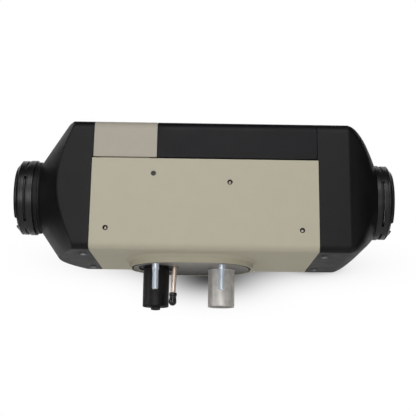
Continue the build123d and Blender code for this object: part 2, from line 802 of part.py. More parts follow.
with BuildPart() as heat_exchanger:
    with BuildSketch(duct_plane(exchanger_left + fin_setback)):
        with PolarLocations(fin_reach / 2, fin_count, start_angle=180 / fin_count):
            Rectangle(fin_reach, fin_thickness)
    extrude(amount=exchanger_right - 2 * fin_setback - exchanger_left)
    extrude_body(exchanger_left, exchanger_right, fin_clearance, Mode.INTERSECT)
    turn_profile(
        (
            (exchanger_left, 0),
            (exchanger_left, end_flange_radius),
            (exchanger_left + end_flange_width, end_flange_radius),
            (exchanger_left + end_flange_width, exchanger_radius),
            (exchanger_right - exchanger_dome, exchanger_radius),
            (exchanger_right, exchanger_radius - exchanger_dome),
            (exchanger_right, 0),
        )
    )
    with BuildSketch(Plane.XY):
        with Locations((neck_left + neck_length / 2, 0)):
            RectangleRounded(neck_length, neck_width, neck_corner)
    extrude(amount=neck_top)
    extrude(plate_outline(0), amount=plate_thickness)
    # pads for the glow plug and the temperature sensor, clear of the fins
    with BuildSketch(Plane.XY.offset(duct_axis_height + exchanger_bore + fin_thickness)):
        with Locations((glow_plug_x, 0)):
            Circle(glow_plug_hex + glow_pad_margin)
        with Locations((sensor_x, 0)):
            Rectangle(sensor_pad_length, sensor_pad_width)
    extrude(amount=pad_height - duct_axis_height - exchanger_bore - fin_thickness)
    with BuildSketch(Plane.XY.offset(pad_height)):
        with Locations((glow_plug_x, 0)):
            Circle(glow_plug_hex + 2 * glow_pad_margin)
        with Locations((sensor_x, 0)):
            Rectangle(sensor_pad_length + glow_pad_margin, sensor_pad_width + glow_pad_margin)
    extrude(amount=crown_height - pad_height, mode=Mode.SUBTRACT)
    # exhaust stub, flared where it leaves the plate
    with BuildSketch(Plane.XZ):
        with BuildLine():
            Polyline(
                (exhaust_x, 0),
                (exhaust_x + exhaust_radius + exhaust_flare, 0),
                (exhaust_x + exhaust_radius, -exhaust_flare_height),
                (exhaust_x + exhaust_radius, -exhaust_drop),
                (exhaust_x, -exhaust_drop),
                close=True,
            )
        make_face()
    revolve(axis=Axis((exhaust_x, 0, 0), (0, 0, 1)))
    with BuildSketch(duct_plane(exchanger_left)):
        Circle(exchanger_bore)
    extrude(amount=exchanger_right - exchanger_dome - exchanger_left, mode=Mode.SUBTRACT)
    with BuildSketch(Plane.XY.offset(-exhaust_drop)):
        with Locations((exhaust_x, 0)):
            Circle(exhaust_bore)
    extrude(amount=exhaust_drop + duct_axis_height, mode=Mode.SUBTRACT)
    # openings for the intake pipe, the fuel line and the studs
    extrude(seat_outline(0, intake_opening_fit), amount=plate_thickness, mode=Mode.SUBTRACT)
    with BuildSketch(Plane.XY):
        with Locations((fuel_x, fuel_y)):
            Circle(fuel_opening)
    extrude(amount=fuel_top + plate_fit, mode=Mode.SUBTRACT)
    with BuildSketch(Plane.XY):
        with GridLocations(stud_pitch_x, stud_pitch_y, 2, 2):
            Circle(stud_root_radius + stud_fit)
    extrude(amount=stud_seat + stud_fit, mode=Mode.SUBTRACT)
    with BuildSketch(Plane.XY):
        with Locations((plate_dimple_x, plate_dimple_y)):
            Circle(plate_dimple_radius)
    extrude(amount=plate_thickness / 2, mode=Mode.SUBTRACT)
    with BuildSketch(Plane.XY.offset(duct_axis_height)):
        with Locations((glow_plug_x, 0)):
            Circle(glow_plug_thread + screw_fit)
    extrude(amount=crown_height - duct_axis_height, mode=Mode.SUBTRACT)
    with BuildSketch(duct_plane(exchanger_left)):
        with PolarLocations(blower_lug_distance, blower_screw_count, start_angle=45):
            Circle(blower_screw_radius + screw_fit)
    extrude(amount=end_flange_width, mode=Mode.SUBTRACT)
heat_exchanger.part.label = "heat_exchanger"


# ---- burner inside the heat exchanger -----------------------------------------------

with BuildPart() as burner:
    with BuildSketch(duct_plane(burner_flange_left)):
        Circle(end_flange_radius)
    extrude(amount=burner_flange_width)
    with BuildSketch(duct_plane(exchanger_left)):
        Circle(burner_tube_radius)
    extrude(amount=burner_tube_length)
    with BuildSketch(duct_plane(burner_flange_left)):
        Circle(flame_port_radius)
    extrude(amount=burner_flange_width, mode=Mode.SUBTRACT)
    with BuildSketch(duct_plane(exchanger_left)):
        Circle(burner_tube_radius - burner_tube_wall)
    extrude(amount=burner_tube_length, mode=Mode.SUBTRACT)
    for row in range(burner_hole_rows):
        for i in range(burner_hole_count):
            angle = (i + row / 2 + 1 / 2) * 360 / burner_hole_count
            station = exchanger_left + burner_tube_length - (row + 1) * burner_hole_pitch
            out = Vector(0, math.cos(math.radians(angle)), math.sin(math.radians(angle)))
            centre = Vector(station, 0, duct_axis_height)
            with BuildSketch(Plane(origin=centre, x_dir=(1, 0, 0), z_dir=out)):
                Circle(burner_hole_radius)
            extrude(amount=burner_tube_radius + overcut, mode=Mode.SUBTRACT)
    with BuildSketch(Plane.XY.offset(duct_axis_height)):
        with Locations((glow_plug_x, 0)):
            Circle(glow_plug_thread + screw_fit)
    extrude(amount=exchanger_radius, mode=Mode.SUBTRACT)
    with BuildSketch(duct_plane(burner_flange_left)):
        with PolarLocations(blower_lug_distance, blower_screw_count, start_angle=45):
            Circle(blower_screw_radius + screw_fit)
    extrude(amount=burner_flange_width, mode=Mode.SUBTRACT)
burner.part.label = "burner"

with BuildPart() as burner_gasket:
    with BuildSketch(duct_plane(blower_right)):
        Circle(end_flange_radius)
        Circle(flame_port_radius, mode=Mode.SUBTRACT)
        with PolarLocations(blower_lug_distance, blower_screw_count, start_angle=45):
            Circle(blower_screw_radius + screw_fit, mode=Mode.SUBTRACT)
    extrude(amount=gasket_width)
burner_gasket.part.label = "burner_gasket"

with BuildPart() as glow_plug:
    plug_foot = duct_axis_height + burner_tube_radius - 2 * burner_tube_wall
    with BuildSketch(Plane.XY.offset(plug_foot)):
        with Locations((glow_plug_x, 0)):
            Circle(glow_plug_thread)
    extrude(amount=pad_height - plug_foot)
    with BuildSketch(Plane.XY.offset(pad_height)):
        with Locations((glow_plug_x, 0)):
            RegularPolygon(glow_plug_hex, 6, major_radius=False)
    extrude(amount=glow_plug_hex_height)
    with BuildSketch(Plane.XY.offset(pad_height + glow_plug_hex_height)):
        with Locations((glow_plug_x, 0)):
            Circle(glow_plug_radius)
    extrude(amount=glow_plug_length - glow_plug_hex_height - glow_plug_pin_length - overcut)
    with BuildSketch(Plane.XY.offset(pad_height + glow_plug_hex_height)):
        with Locations((glow_plug_x, 0)):
            Circle(glow_plug_pin_radius)
    extrude(amount=glow_plug_length - glow_plug_hex_height)
glow_plug.part.label = "glow_plug"

sensor_height = pad_height + sensor_radius
with BuildPart() as temperature_sensor:
    with BuildSketch(Plane.YZ.offset(sensor_x - sensor_length / 2)):
        with Locations((0, sensor_height)):
            Circle(sensor_radius)
    extrude(amount=sensor_length)
    chamfer(temperature_sensor.edges().group_by(Axis.X)[-1], length=sensor_radius / 3)
temperature_sensor.part.label = "temperature_sensor"

with BuildPart() as sensor_clip:
    with BuildSketch(Plane.YZ.offset(sensor_x - clip_width / 2)):
        with Locations((0, pad_height + clip_wall / 2)):
            Rectangle(sensor_pad_width, clip_wall)
        with Locations((0, sensor_height)):
            Circle(sensor_radius + shaft_fit + clip_wall)
            Circle(sensor_radius + shaft_fit, mode=Mode.SUBTRACT)
        with Locations((0, pad_height + sensor_radius / 2)):
            Rectangle(2 * sensor_radius, sensor_radius, mode=Mode.SUBTRACT)
    extrude(amount=clip_width)
    split(bisect_by=Plane.XY.offset(pad_height), keep=Keep.TOP)
sensor_clip.part.label = "sensor_clip"


# ---- pipes and studs under the flange -------------------------------------------------
with BuildPart() as mounting_studs:
    with BuildSketch(Plane.XY.offset(-stud_drop)):
        with GridLocations(stud_pitch_x, stud_pitch_y, 2, 2):
            Circle(stud_radius)
    extrude(amount=stud_drop)
    chamfer(mounting_studs.edges().group_by(Axis.Z)[0], length=stud_radius / 4)
    with BuildSketch(Plane.XY):
        with GridLocations(stud_pitch_x, stud_pitch_y, 2, 2):
            Circle(stud_root_radius)
    extrude(amount=stud_seat)
mounting_studs.part.label = "mounting_studs"

with BuildPart() as combustion_air_pipe:
    with BuildSketch(Plane.XY.offset(-intake_drop)):
        with Locations((intake_x, 0)):
            Circle(intake_radius)
    extrude(amount=intake_drop + intake_seat_base)
    with BuildSketch(Plane.XY.offset(intake_seat_base)):
        with Locations((intake_x, 0)):
            Circle(intake_root_radius)
    extrude(amount=intake_top - intake_seat_base)
    extrude(seat_outline(intake_seat_base), amount=intake_seat_thickness)
    with BuildSketch(Plane.XY):
        with Locations((fuel_x, fuel_y)):
            Circle(fuel_opening)
    extrude(amount=intake_seat_base + intake_seat_thickness, mode=Mode.SUBTRACT)
    rim = combustion_air_pipe.edges().group_by(Axis.Z)[0]
    chamfer(rim, length=(intake_radius - intake_bore) / 4)
    with BuildSketch(Plane.XY.offset(-intake_drop)):
        with Locations((intake_x, 0)):
            Circle(intake_bore)
    extrude(amount=intake_drop + intake_top, mode=Mode.SUBTRACT)
combustion_air_pipe.part.label = "combustion_air_pipe"

with BuildPart() as intake_plug:
    with BuildSketch(Plane.XY.offset(-intake_drop)):
        with Locations((intake_x, 0)):
            Circle(intake_bore - plug_fit)
    extrude(amount=plug_seat)
    with BuildSketch(Plane.XY.offset(-intake_drop)):
        with Locations((intake_x, 0)):
            RectangleRounded(plug_grip_width, plug_grip_depth, plug_grip_depth / 3)
    extrude(amount=-plug_grip_drop)
    for share in (1 / 3, 2 / 3):
        height = -intake_drop - plug_grip_drop * share
        for side in (-1, 1):
            with BuildSketch(Plane.XZ.offset(plug_grip_depth / 2 + overcut)):
                with Locations((intake_x + side * plug_grip_width / 2, height)):
                    Circle(plug_grip_drop / 8)
            extrude(amount=-plug_grip_depth - 2 * overcut, mode=Mode.SUBTRACT)
    fillet(intake_plug.edges().group_by(Axis.Z)[0], radius=plug_grip_drop / 8)
intake_plug.part.label = "intake_plug"

lean = math.radians(fuel_lean)
fuel_down = Vector(-math.sin(lean), 0, -math.cos(lean))
fuel_foot = Vector(fuel_x, fuel_y, 0)
fuel_end = cap_end + cap_radius


def fuel_plane(height):
    """Plane square to the leaning fuel line, at a height."""
    origin = fuel_foot + fuel_down * (-height / math.cos(lean))
    return Plane(origin=origin, x_dir=(math.cos(lean), 0, -math.sin(lean)), z_dir=fuel_down * -1)


with BuildPart() as fuel_pipe:
    with BuildSketch(fuel_plane(fuel_end)):
        Circle(fuel_radius)
        Circle(fuel_bore, mode=Mode.SUBTRACT)
    extrude(amount=(fuel_top - fuel_end) / math.cos(lean))
fuel_pipe.part.label = "fuel_pipe"

with BuildPart() as fuel_pipe_cap:
    with BuildSketch(fuel_plane(cap_end)):
        Circle(cap_radius)
    extrude(amount=(cap_top - cap_end) / math.cos(lean))
    fillet(fuel_pipe_cap.edges().group_by(Axis.Z)[0], radius=cap_radius * 3 / 4)
    fillet(fuel_pipe_cap.edges().group_by(Axis.Z)[-1], radius=cap_radius / 5)
    with BuildSketch(fuel_plane(fuel_end - cap_fit)):
        Circle(fuel_radius + cap_fit)
    extrude(amount=(cap_top - cap_end) / math.cos(lean), mode=Mode.SUBTRACT)
fuel_pipe_cap.part.label = "fuel_pipe_cap"


# ---- blower: housing, cover, motor and what turns ---------------------------------------
with BuildPart() as blower_housing:
    with BuildSketch(duct_plane(blower_left)):
        Circle(blower_radius)
        with PolarLocations(blower_lug_distance, blower_screw_count, start_angle=45):
            Circle(blower_lug_radius)
    extrude(amount=blower_width)
    with BuildSketch(Plane.XY.offset(intake_top + plate_fit)):
        with Locations((intake_x, 0)):
            Circle(blower_boss_radius)
    extrude(amount=duct_axis_height - intake_top - plate_fit)
    with BuildSketch(Plane.XY.offset(duct_axis_height)):
        with Locations(((blower_left + blower_right) / 2, 0)):
            Rectangle(blower_width, 2 * unit_pad_half)
    extrude(amount=blower_radius)
    split(bisect_by=Plane.YZ.offset(blower_right), keep=Keep.BOTTOM)
    with BuildSketch(duct_plane(blower_left)):
        Circle(blower_radius - blower_wall)
    extrude(amount=blower_cavity_depth, mode=Mode.SUBTRACT)
    with BuildSketch(duct_plane(blower_left)):
        Circle(flame_port_radius)
    extrude(amount=blower_width, mode=Mode.SUBTRACT)
    with BuildSketch(Plane.XY.offset(intake_top)):
        with Locations((intake_x, 0)):
            Circle(intake_bore - blower_wall / 2)
    extrude(amount=duct_axis_height - intake_top, mode=Mode.SUBTRACT)
    with BuildSketch(duct_plane(blower_left)):
        with PolarLocations(blower_lug_distance, blower_screw_count, start_angle=45):
            Circle(blower_screw_radius + screw_fit)
    extrude(amount=blower_width, mode=Mode.SUBTRACT)
blower_housing.part.label = "blower_housing"

with BuildPart() as blower_cover:
    with BuildSketch(duct_plane(blower_cover_left)):
        Circle(blower_radius)
        with PolarLocations(blower_lug_distance, blower_screw_count, start_angle=45):
            Circle(blower_lug_radius)
            Circle(blower_screw_radius + screw_fit, mode=Mode.SUBTRACT)
        Circle(shaft_radius + shaft_fit, mode=Mode.SUBTRACT)
    extrude(amount=blower_cover_width)
    with BuildSketch(duct_plane(blower_cover_left)):
        Circle(bearing_radius + shaft_fit)
    extrude(amount=bearing_width, mode=Mode.SUBTRACT)
blower_cover.part.label = "blower_cover"

with BuildPart() as blower_screws:
    with BuildSketch(duct_plane(blower_cover_left)):
        with PolarLocations(blower_lug_distance, blower_screw_count, start_angle=45):
            Circle(blower_screw_radius)
    extrude(amount=exchanger_left + end_flange_width / 2 - blower_cover_left)
    with BuildSketch(duct_plane(blower_cover_left)):
        with PolarLocations(blower_lug_distance, blower_screw_count, start_angle=45):
            Circle(blower_screw_head)
            RegularPolygon(blower_screw_radius, 6, mode=Mode.SUBTRACT)
    extrude(amount=-blower_screw_head_height)
    with BuildSketch(duct_plane(blower_cover_left)):
        with PolarLocations(blower_lug_distance, blower_screw_count, start_angle=45):
            Circle(blower_screw_radius)
    extrude(amount=-blower_screw_head_height / 3)
blower_screws.part.label = "blower_screws"

with BuildPart() as motor:
    turn_profile(
        (
            (motor_nose_left, shaft_radius + shaft_fit),
            (motor_nose_left, motor_nose_radius),
            (motor_left, motor_nose_radius),
            (motor_left, motor_radius - motor_edge),
            (motor_left + motor_edge, motor_radius),
            (blower_cover_left, motor_radius),
            (blower_cover_left, shaft_radius + shaft_fit),
        )
    )
    with BuildSketch(duct_plane(motor_nose_left)):
        Circle(bearing_radius + shaft_fit)
    extrude(amount=bearing_width, mode=Mode.SUBTRACT)
motor.part.label = "motor"

with BuildPart() as shaft_bearings:
    for station in (motor_nose_left, blower_cover_left):
        with BuildSketch(duct_plane(station)):
            Circle(bearing_radius)
            Circle(shaft_radius + shaft_fit, mode=Mode.SUBTRACT)
        extrude(amount=bearing_width)
shaft_bearings.part.label = "shaft_bearings"

with BuildPart() as rotor_shaft:
    with BuildSketch(duct_plane(fan_left - fan_clip_width - shaft_end_gap)):
        Circle(shaft_radius)
    extrude(amount=shaft_right - fan_left + fan_clip_width + shaft_end_gap)
    chamfer(rotor_shaft.edges(), length=shaft_radius / 5)
rotor_shaft.part.label = "rotor_shaft"

with BuildPart() as combustion_impeller:
    with BuildSketch(duct_plane(impeller_left)):
        Circle(impeller_radius)
    extrude(amount=impeller_disc)
    with BuildSketch(duct_plane(impeller_left + impeller_disc)):
        with PolarLocations((impeller_radius + impeller_hub_radius) / 2, impeller_blades):
            Rectangle(impeller_radius - impeller_hub_radius, impeller_blade_thickness, rotation=impeller_sweep)
        Circle(impeller_hub_radius)
    extrude(amount=impeller_width - impeller_disc)
    with BuildSketch(duct_plane(impeller_left)):
        Circle(impeller_radius)
    extrude(amount=impeller_width, mode=Mode.INTERSECT)
    with BuildSketch(duct_plane(impeller_left)):
        Circle(shaft_radius + press_fit)
    extrude(amount=impeller_width, mode=Mode.SUBTRACT)
combustion_impeller.part.label = "combustion_impeller"


def blade_outline(radius, pitch, chord):
    """Section of a fan blade at a radius, turned to its pitch."""
    angle = math.radians(pitch)
    origin = Vector((fan_left + fan_right) / 2, 0, duct_axis_height + radius)
    along = Vector(math.sin(angle), math.cos(angle), 0)
    with BuildSketch(Plane(origin=origin, x_dir=along, z_dir=(0, 0, 1))) as outline:
        SlotOverall(chord, fan_blade_thickness)
    return outline.sketch


with BuildPart() as fan_blade:
    loft(
        [
            blade_outline(fan_hub_radius - fan_blade_thickness, fan_pitch, fan_chord),
            blade_outline(fan_radius + overcut, fan_pitch - fan_twist, fan_tip_chord),
        ]
    )

with BuildPart() as fan_wheel:
    for i in range(fan_blades):
        add(fan_blade.part.rotate(duct_axis, i * 360 / fan_blades))
    turn_profile(
        (
            (fan_left, 0),
            (fan_left, fan_radius),
            (fan_right, fan_radius),
            (fan_right, 0),
        ),
        Mode.INTERSECT,
    )
    turn_profile(
        (
            (fan_left, 0),
            (fan_left, fan_hub_radius - fan_nose),
            (fan_left + fan_nose, fan_hub_radius),
            (fan_right, fan_hub_radius),
            (fan_right, 0),
        )
    )
    with BuildSketch(duct_plane(fan_left)):
        Circle(shaft_radius + press_fit)
    extrude(amount=fan_width, mode=Mode.SUBTRACT)
fan_wheel.part.label = "fan_wheel"

with BuildPart() as fan_clip:
    with BuildSketch(duct_plane(fan_left - fan_clip_width)):
        Circle(fan_clip_radius)
        Circle(shaft_radius + press_fit, mode=Mode.SUBTRACT)
        with Locations((0, -fan_clip_radius)):
            Rectangle(2 * press_fit + shaft_radius, fan_clip_radius, mode=Mode.SUBTRACT)
    extrude(amount=fan_clip_width)
fan_clip.part.label = "fan_clip"

guide_left = motor_nose_left
guide_bore = fan_radius + guide_gap
with BuildPart() as air_guide:
    extrude_body(guide_left, guide_left + guide_plate, guide_lap)
    with BuildSketch(duct_plane(guide_left)):
        Circle(guide_bore)
    extrude(amount=guide_plate, mode=Mode.SUBTRACT)
    with BuildSketch(duct_plane(fan_left)):
        Circle(guide_bore + guide_ring)
        Circle(guide_bore, mode=Mode.SUBTRACT)
    extrude(amount=guide_left + guide_plate - fan_left)
    with BuildSketch(duct_plane(guide_left)):
        with PolarLocations(guide_bore / 2, guide_struts, start_angle=45):
            Rectangle(guide_bore + guide_ring, guide_strut_width)
    extrude(amount=guide_plate)
    with BuildSketch(duct_plane(guide_left)):
        Circle(motor_radius + guide_motor_fit + guide_motor_ring)
    extrude(amount=motor_left - guide_left + guide_hold)
    with BuildSketch(duct_plane(guide_left)):
        Circle(motor_radius + guide_motor_fit)
    extrude(amount=motor_left - guide_left + guide_hold, mode=Mode.SUBTRACT)
    for y in (-hood_screw_y, hood_screw_y):
        with BuildSketch(Plane.YZ.offset(guide_left)):
            with Locations((y, tongue_bottom)):
                Rectangle(
                    tongue_width + 2 * tongue_margin,
                    2 * (tongue_thickness + tongue_margin),
                )
        extrude(amount=guide_plate, mode=Mode.SUBTRACT)
air_guide.part.label = "air_guide"


# ---- control unit, sockets and seals ------------------------------------------------------
with BuildPart() as control_unit:
    with BuildSketch(Plane.XY.offset(unit_bottom)):
        with Locations(((unit_left + unit_right) / 2, 0)):
            RectangleRounded(unit_length, unit_width, unit_corner)
    extrude(amount=unit_height)
    with BuildSketch(Plane.XY.offset(unit_bottom)):
        with Locations(((unit_left + unit_right) / 2, 0)):
            with GridLocations(unit_length / unit_ribs, 0, unit_ribs, 1):
                Rectangle(unit_lid, unit_width + 2 * unit_lid_overhang)
    extrude(amount=unit_height - unit_lid)
control_unit.part.label = "control_unit"

with BuildPart() as control_unit_lid:
    with BuildSketch(Plane.XY.offset(unit_bottom + unit_height)):
        with Locations(((unit_left + unit_right) / 2, 0)):
            RectangleRounded(
                unit_length + 2 * unit_lid_overhang,
                unit_width + 2 * unit_lid_overhang,
                unit_corner + unit_lid_overhang,
            )
    extrude(amount=unit_lid)
    chamfer(control_unit_lid.edges().group_by(Axis.Z)[-1], length=unit_lid / 3)
control_unit_lid.part.label = "control_unit_lid"

with BuildPart() as control_socket:
    with BuildSketch(Plane.YZ.offset(unit_left - socket_length)):
        with Locations((0, unit_bottom + unit_height / 2)):
            Rectangle(socket_width, socket_height)
    extrude(amount=socket_length)
    with BuildSketch(Plane.YZ.offset(unit_left - socket_length)):
        with Locations((0, unit_bottom + unit_height / 2)):
            Rectangle(socket_width - 2 * socket_wall, socket_height - 2 * socket_wall)
    extrude(amount=socket_length - socket_wall, mode=Mode.SUBTRACT)
    with BuildSketch(Plane.YZ.offset(unit_left - socket_length + socket_wall)):
        with Locations((0, unit_bottom + unit_height / 2)):
            with GridLocations(socket_width / (socket_pins + 1), 0, socket_pins, 1):
                Circle(socket_pin_radius)
    extrude(amount=socket_length - socket_wall)
control_socket.part.label = "control_socket"

with BuildPart() as harness_grommet:
    with BuildSketch(side_plane(1, grommet_x, grommet_z, wall + grommet_flange_width)):
        Circle(grommet_radius - grommet_fit)
    extrude(amount=wall + 2 * grommet_flange_width)
    with BuildSketch(side_plane(1, grommet_x, grommet_z, wall + grommet_flange_width)):
        Circle(grommet_radius + grommet_flange)
    extrude(amount=grommet_flange_width - grommet_fit)
    with BuildSketch(side_plane(1, grommet_x, grommet_z, -grommet_fit)):
        Circle(grommet_radius + grommet_flange)
    extrude(amount=grommet_flange_width - grommet_fit)
    with BuildSketch(side_plane(1, grommet_x, grommet_z, wall + 2 * grommet_flange_width)):
        Circle(grommet_hole)
    extrude(amount=wall + 4 * grommet_flange_width, mode=Mode.SUBTRACT)
harness_grommet.part.label = "harness_grommet"

with BuildPart() as side_plug:
    with BuildSketch(side_plane(-1, side_plug_x, side_plug_z, wall)):
        Circle(recess_radius - screw_fit)
    extrude(amount=wall - screw_fit)
side_plug.part.label = "side_plug"

with BuildPart() as side_screws_set:
    for side in (-1, 1):
        for x, height in side_screws:
            with BuildSketch(side_plane(side, x, height, recess_boss_depth + overcut)):
                Circle(side_screw_radius)
            extrude(amount=recess_boss_depth + overcut - recess_depth)
            with BuildSketch(side_plane(side, x, height, recess_depth)):
                Circle(side_screw_head)
            extrude(amount=side_screw_head_height)
            with BuildSketch(side_plane(side, x, height, recess_depth - side_screw_head_height / 3)):
                RegularPolygon(side_screw_radius * 3 / 4, 6)
            extrude(amount=side_screw_head_height, mode=Mode.SUBTRACT)
side_screws_set.part.label = "side_screws"

with BuildPart() as hood_screws:
    with BuildSketch(Plane.XY.offset(floor_height)):
        for x in hood_screw_xs:
            with Locations((x, -hood_screw_y), (x, hood_screw_y)):
                Circle(hood_screw_radius)
    extrude(amount=tongue_bottom + tongue_thickness + overcut - floor_height)
    with BuildSketch(Plane.XY.offset(floor_height)):
        for x in hood_screw_xs:
            with Locations((x, -hood_screw_y), (x, hood_screw_y)):
                Circle(hood_screw_head)
    extrude(amount=-hood_screw_head_height)
    chamfer(hood_screws.edges().group_by(Axis.Z)[0], length=hood_screw_head_height / 3)
hood_screws.part.label = "hood_screws"


# ---- one file for each piece ------------------------------------------------------------
pieces = (
    lower_shell,
    upper_cover,
    service_cover,
    inlet_hood,
    outlet_hood,
    inlet_collar,
    outlet_collar,
    inlet_grille,
    outlet_grille,
    heat_exchanger,
    burner,
    burner_gasket,
    glow_plug,
    temperature_sensor,
    sensor_clip,
    mounting_studs,
    combustion_air_pipe,
    intake_plug,
    fuel_pipe,
    fuel_pipe_cap,
    blower_housing,
    blower_cover,
    blower_screws,
    motor,
    shaft_bearings,
    rotor_shaft,
    combustion_impeller,
    fan_wheel,
    fan_clip,
    air_guide,
    control_unit,
    control_unit_lid,
    control_socket,
    harness_grommet,
    side_plug,
    side_screws_set,
    hood_screws,
)
os.makedirs("parts", exist_ok=True)
for piece in pieces:
    export_step(piece.part, f"parts/{piece.part.label}.step")
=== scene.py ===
"""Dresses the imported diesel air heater: finishes, threaded studs, screws and studio.

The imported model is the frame. Its nodes keep their shapes and get procedural
finishes here; small forms that a solid shows too plainly are built as numpy
surfaces in the same frame, in metres. +X runs from the cold-air inlet to the
hot-air outlet, +Z is up out of the flange, and the side seen in front faces -Y.
"""

import logging
import math
from dataclasses import dataclass
from enum import Enum
from functools import cache

import bmesh
import bpy
import numpy as np
from mathutils import Matrix, Vector


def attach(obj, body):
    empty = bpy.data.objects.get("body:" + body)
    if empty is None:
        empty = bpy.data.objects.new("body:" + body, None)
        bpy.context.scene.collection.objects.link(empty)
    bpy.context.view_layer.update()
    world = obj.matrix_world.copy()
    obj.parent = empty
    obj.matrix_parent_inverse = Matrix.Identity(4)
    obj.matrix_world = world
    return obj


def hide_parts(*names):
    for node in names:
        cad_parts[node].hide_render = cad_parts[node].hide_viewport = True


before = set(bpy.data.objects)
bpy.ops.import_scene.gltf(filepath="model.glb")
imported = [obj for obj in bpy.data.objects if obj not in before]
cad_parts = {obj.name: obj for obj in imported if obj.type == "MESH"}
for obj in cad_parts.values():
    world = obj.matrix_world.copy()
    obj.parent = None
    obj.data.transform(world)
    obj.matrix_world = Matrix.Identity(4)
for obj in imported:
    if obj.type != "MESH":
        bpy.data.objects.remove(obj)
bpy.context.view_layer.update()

log = logging.getLogger("air_heater")

MM = 0.001
TAU = 2.0 * math.pi
BODY_MIDDLE = 14.0 * MM  # x of the body's middle
DUCT_AXIS = 70.0 * MM  # height of the axis that both ducts share
HOUSING = "housing"  # the CAD body that all new pieces ride on
POLE = 0.02 * MM  # radius at which a turned profile meets its axis
WELD = 0.001 * MM  # points nearer to each other than this are joined
MIX_COLOURS = (6, 7)  # the Mix node's two colour inputs
MIX_RESULT = 2  # the Mix node's colour output

Triple = tuple[float, float, float]
Colour = Triple
Range = tuple[float, float]
Socket = bpy.types.NodeSocket
Sockets = bpy.types.bpy_prop_collection
Source = Socket | float | Colour  # what can feed an input

WHITE: Colour = (1.0, 1.0, 1.0)


# ---- named options --------------------------------------------------------------------
class Slot(Enum):
    """Material slot names of the record."""

    ZINC = "zinc_steel"
    SCREW = "screw_grey"
    RUBBER = "rubber_black"
    CAP = "cap_rubber"
    COLLAR = "collar_black"


class Axis3(Enum):
    """The direction in which a turned piece's axis runs."""

    X = (1.0, 0.0, 0.0)
    Y = (0.0, 1.0, 0.0)
    Z = (0.0, 0.0, 1.0)


class Kind(Enum):
    """The kinds of output that an effect group has."""

    NUMBER = "NodeSocketFloat"
    VECTOR = "NodeSocketVector"


# ---- shader plumbing ------------------------------------------------------------------
class Tree:
    """Short hand for a node tree: adds nodes, sets their values and joins them."""

    def __init__(self, tree: bpy.types.NodeTree) -> None:
        """Wraps the tree of a material, world or group."""
        self.tree = tree

    def add(self, kind: str, inputs: dict | None = None, **settings) -> bpy.types.Node:
        """Adds one node.

        Args:
            kind: Blender's type name of the node.
            inputs: socket name or number to what feeds it.
            **settings: attributes of the node, such as operation.

        Returns:
            The new node.
        """
        node = self.tree.nodes.new(kind)
        for name, value in settings.items():
            setattr(node, name, value)
        for key, value in (inputs or {}).items():
            self.feed(node.inputs[key], value)
        return node

    def feed(self, socket: Socket, value: Source) -> None:
        """Joins value to socket if it is a socket, and otherwise writes it there.

        Args:
            socket: the input to fill.
            value: a socket, a number, or three numbers, which a colour input takes
                with full alpha.
        """
        if isinstance(value, Socket):
            self.tree.links.new(value, socket)
        elif socket.type == "RGBA":
            socket.default_value = (*value, 1.0)
        else:
            socket.default_value = value

    def math(self, operation: str, first: Source, second: Source = 0.0) -> Socket:
        """Returns the output of a Math node, with operation as Blender names the sum."""
        node = self.add("ShaderNodeMath", {0: first, 1: second}, operation=operation)
        return node.outputs[0]

    def plus(self, first: Source, second: Source) -> Socket:
        """Returns first + second."""
        return self.math("ADD", first, second)

    def times(self, first: Source, *others: Source) -> Source:
        """Returns the product of all the given numbers."""
        for other in others:
            first = self.math("MULTIPLY", first, other)
        return first

    def weigh(self, share: float, first: Source, second: Source) -> Socket:
        """Returns share first + (1 - share) second."""
        return self.plus(self.times(first, share), self.times(second, 1.0 - share))

    def spread(
        self, value: Source, low: float, high: float, to_low: Source = 0.0, to_high: Source = 1.0
    ) -> Socket:
        """Maps a value's range onto another and clamps it.

        Args:
            value: the socket to map.
            low: the value that gives to_low.
            high: the value that gives to_high.
            to_low: result at low.
            to_high: result at high.

        Returns:
            The result socket.
        """
        ends = {"From Min": low, "From Max": high, "To Min": to_low, "To Max": to_high}
        return self.add("ShaderNodeMapRange", {"Value": value, **ends}).outputs["Result"]

    def noise(self, at: Socket, scale: Source, detail: float, roughness: float = 0.55) -> Socket:
        """Returns the factor of a Noise Texture.

        Args:
            at: coordinate socket.
            scale: cycles per metre.
            detail: octaves.
            roughness: weight of the finer octaves.

        Returns:
            The factor socket.
        """
        inputs = {"Vector": at, "Scale": scale, "Detail": detail, "Roughness": roughness}
        return self.add("ShaderNodeTexNoise", inputs).outputs["Fac"]

    def mix(self, share: Source, first: Source, second: Source) -> Socket:
        """Returns a colour between two others.

        Args:
            share: how much of the second it holds, 0 to 1.
            first: the colour at share 0.
            second: the colour at share 1.

        Returns:
            The colour socket.
        """
        inputs = {"Factor": share, **dict(zip(MIX_COLOURS, (first, second)))}
        return self.add("ShaderNodeMix", inputs, data_type="RGBA").outputs[MIX_RESULT]

    def blend(self, share: Source, first: Socket, second: Socket) -> Socket:
        """Returns a shader between two others: the first at share 0."""
        return self.add("ShaderNodeMixShader", {0: share, 1: first, 2: second}).outputs[0]

    def grey(self, value: Source) -> Socket:
        """Returns the colour whose three channels are all the value."""
        return self.add("ShaderNodeCombineXYZ", dict.fromkeys(range(3), value)).outputs[0]

    def split(self, vector: Socket) -> Sockets:
        """Returns a vector's parts, as outputs named X, Y and Z."""
        return self.add("ShaderNodeSeparateXYZ", {0: vector}).outputs

    def object_coordinates(self) -> Socket:
        """Returns where a point lies in its own object, in metres."""
        return self.add("ShaderNodeTexCoord").outputs["Object"]

    def mirror_rays(self, path: Sockets) -> Socket:
        """Returns 1 for a ray that metal or glass sends on, by Light Path's outputs."""
        return self.plus(path["Is Glossy Ray"], path["Is Transmission Ray"])


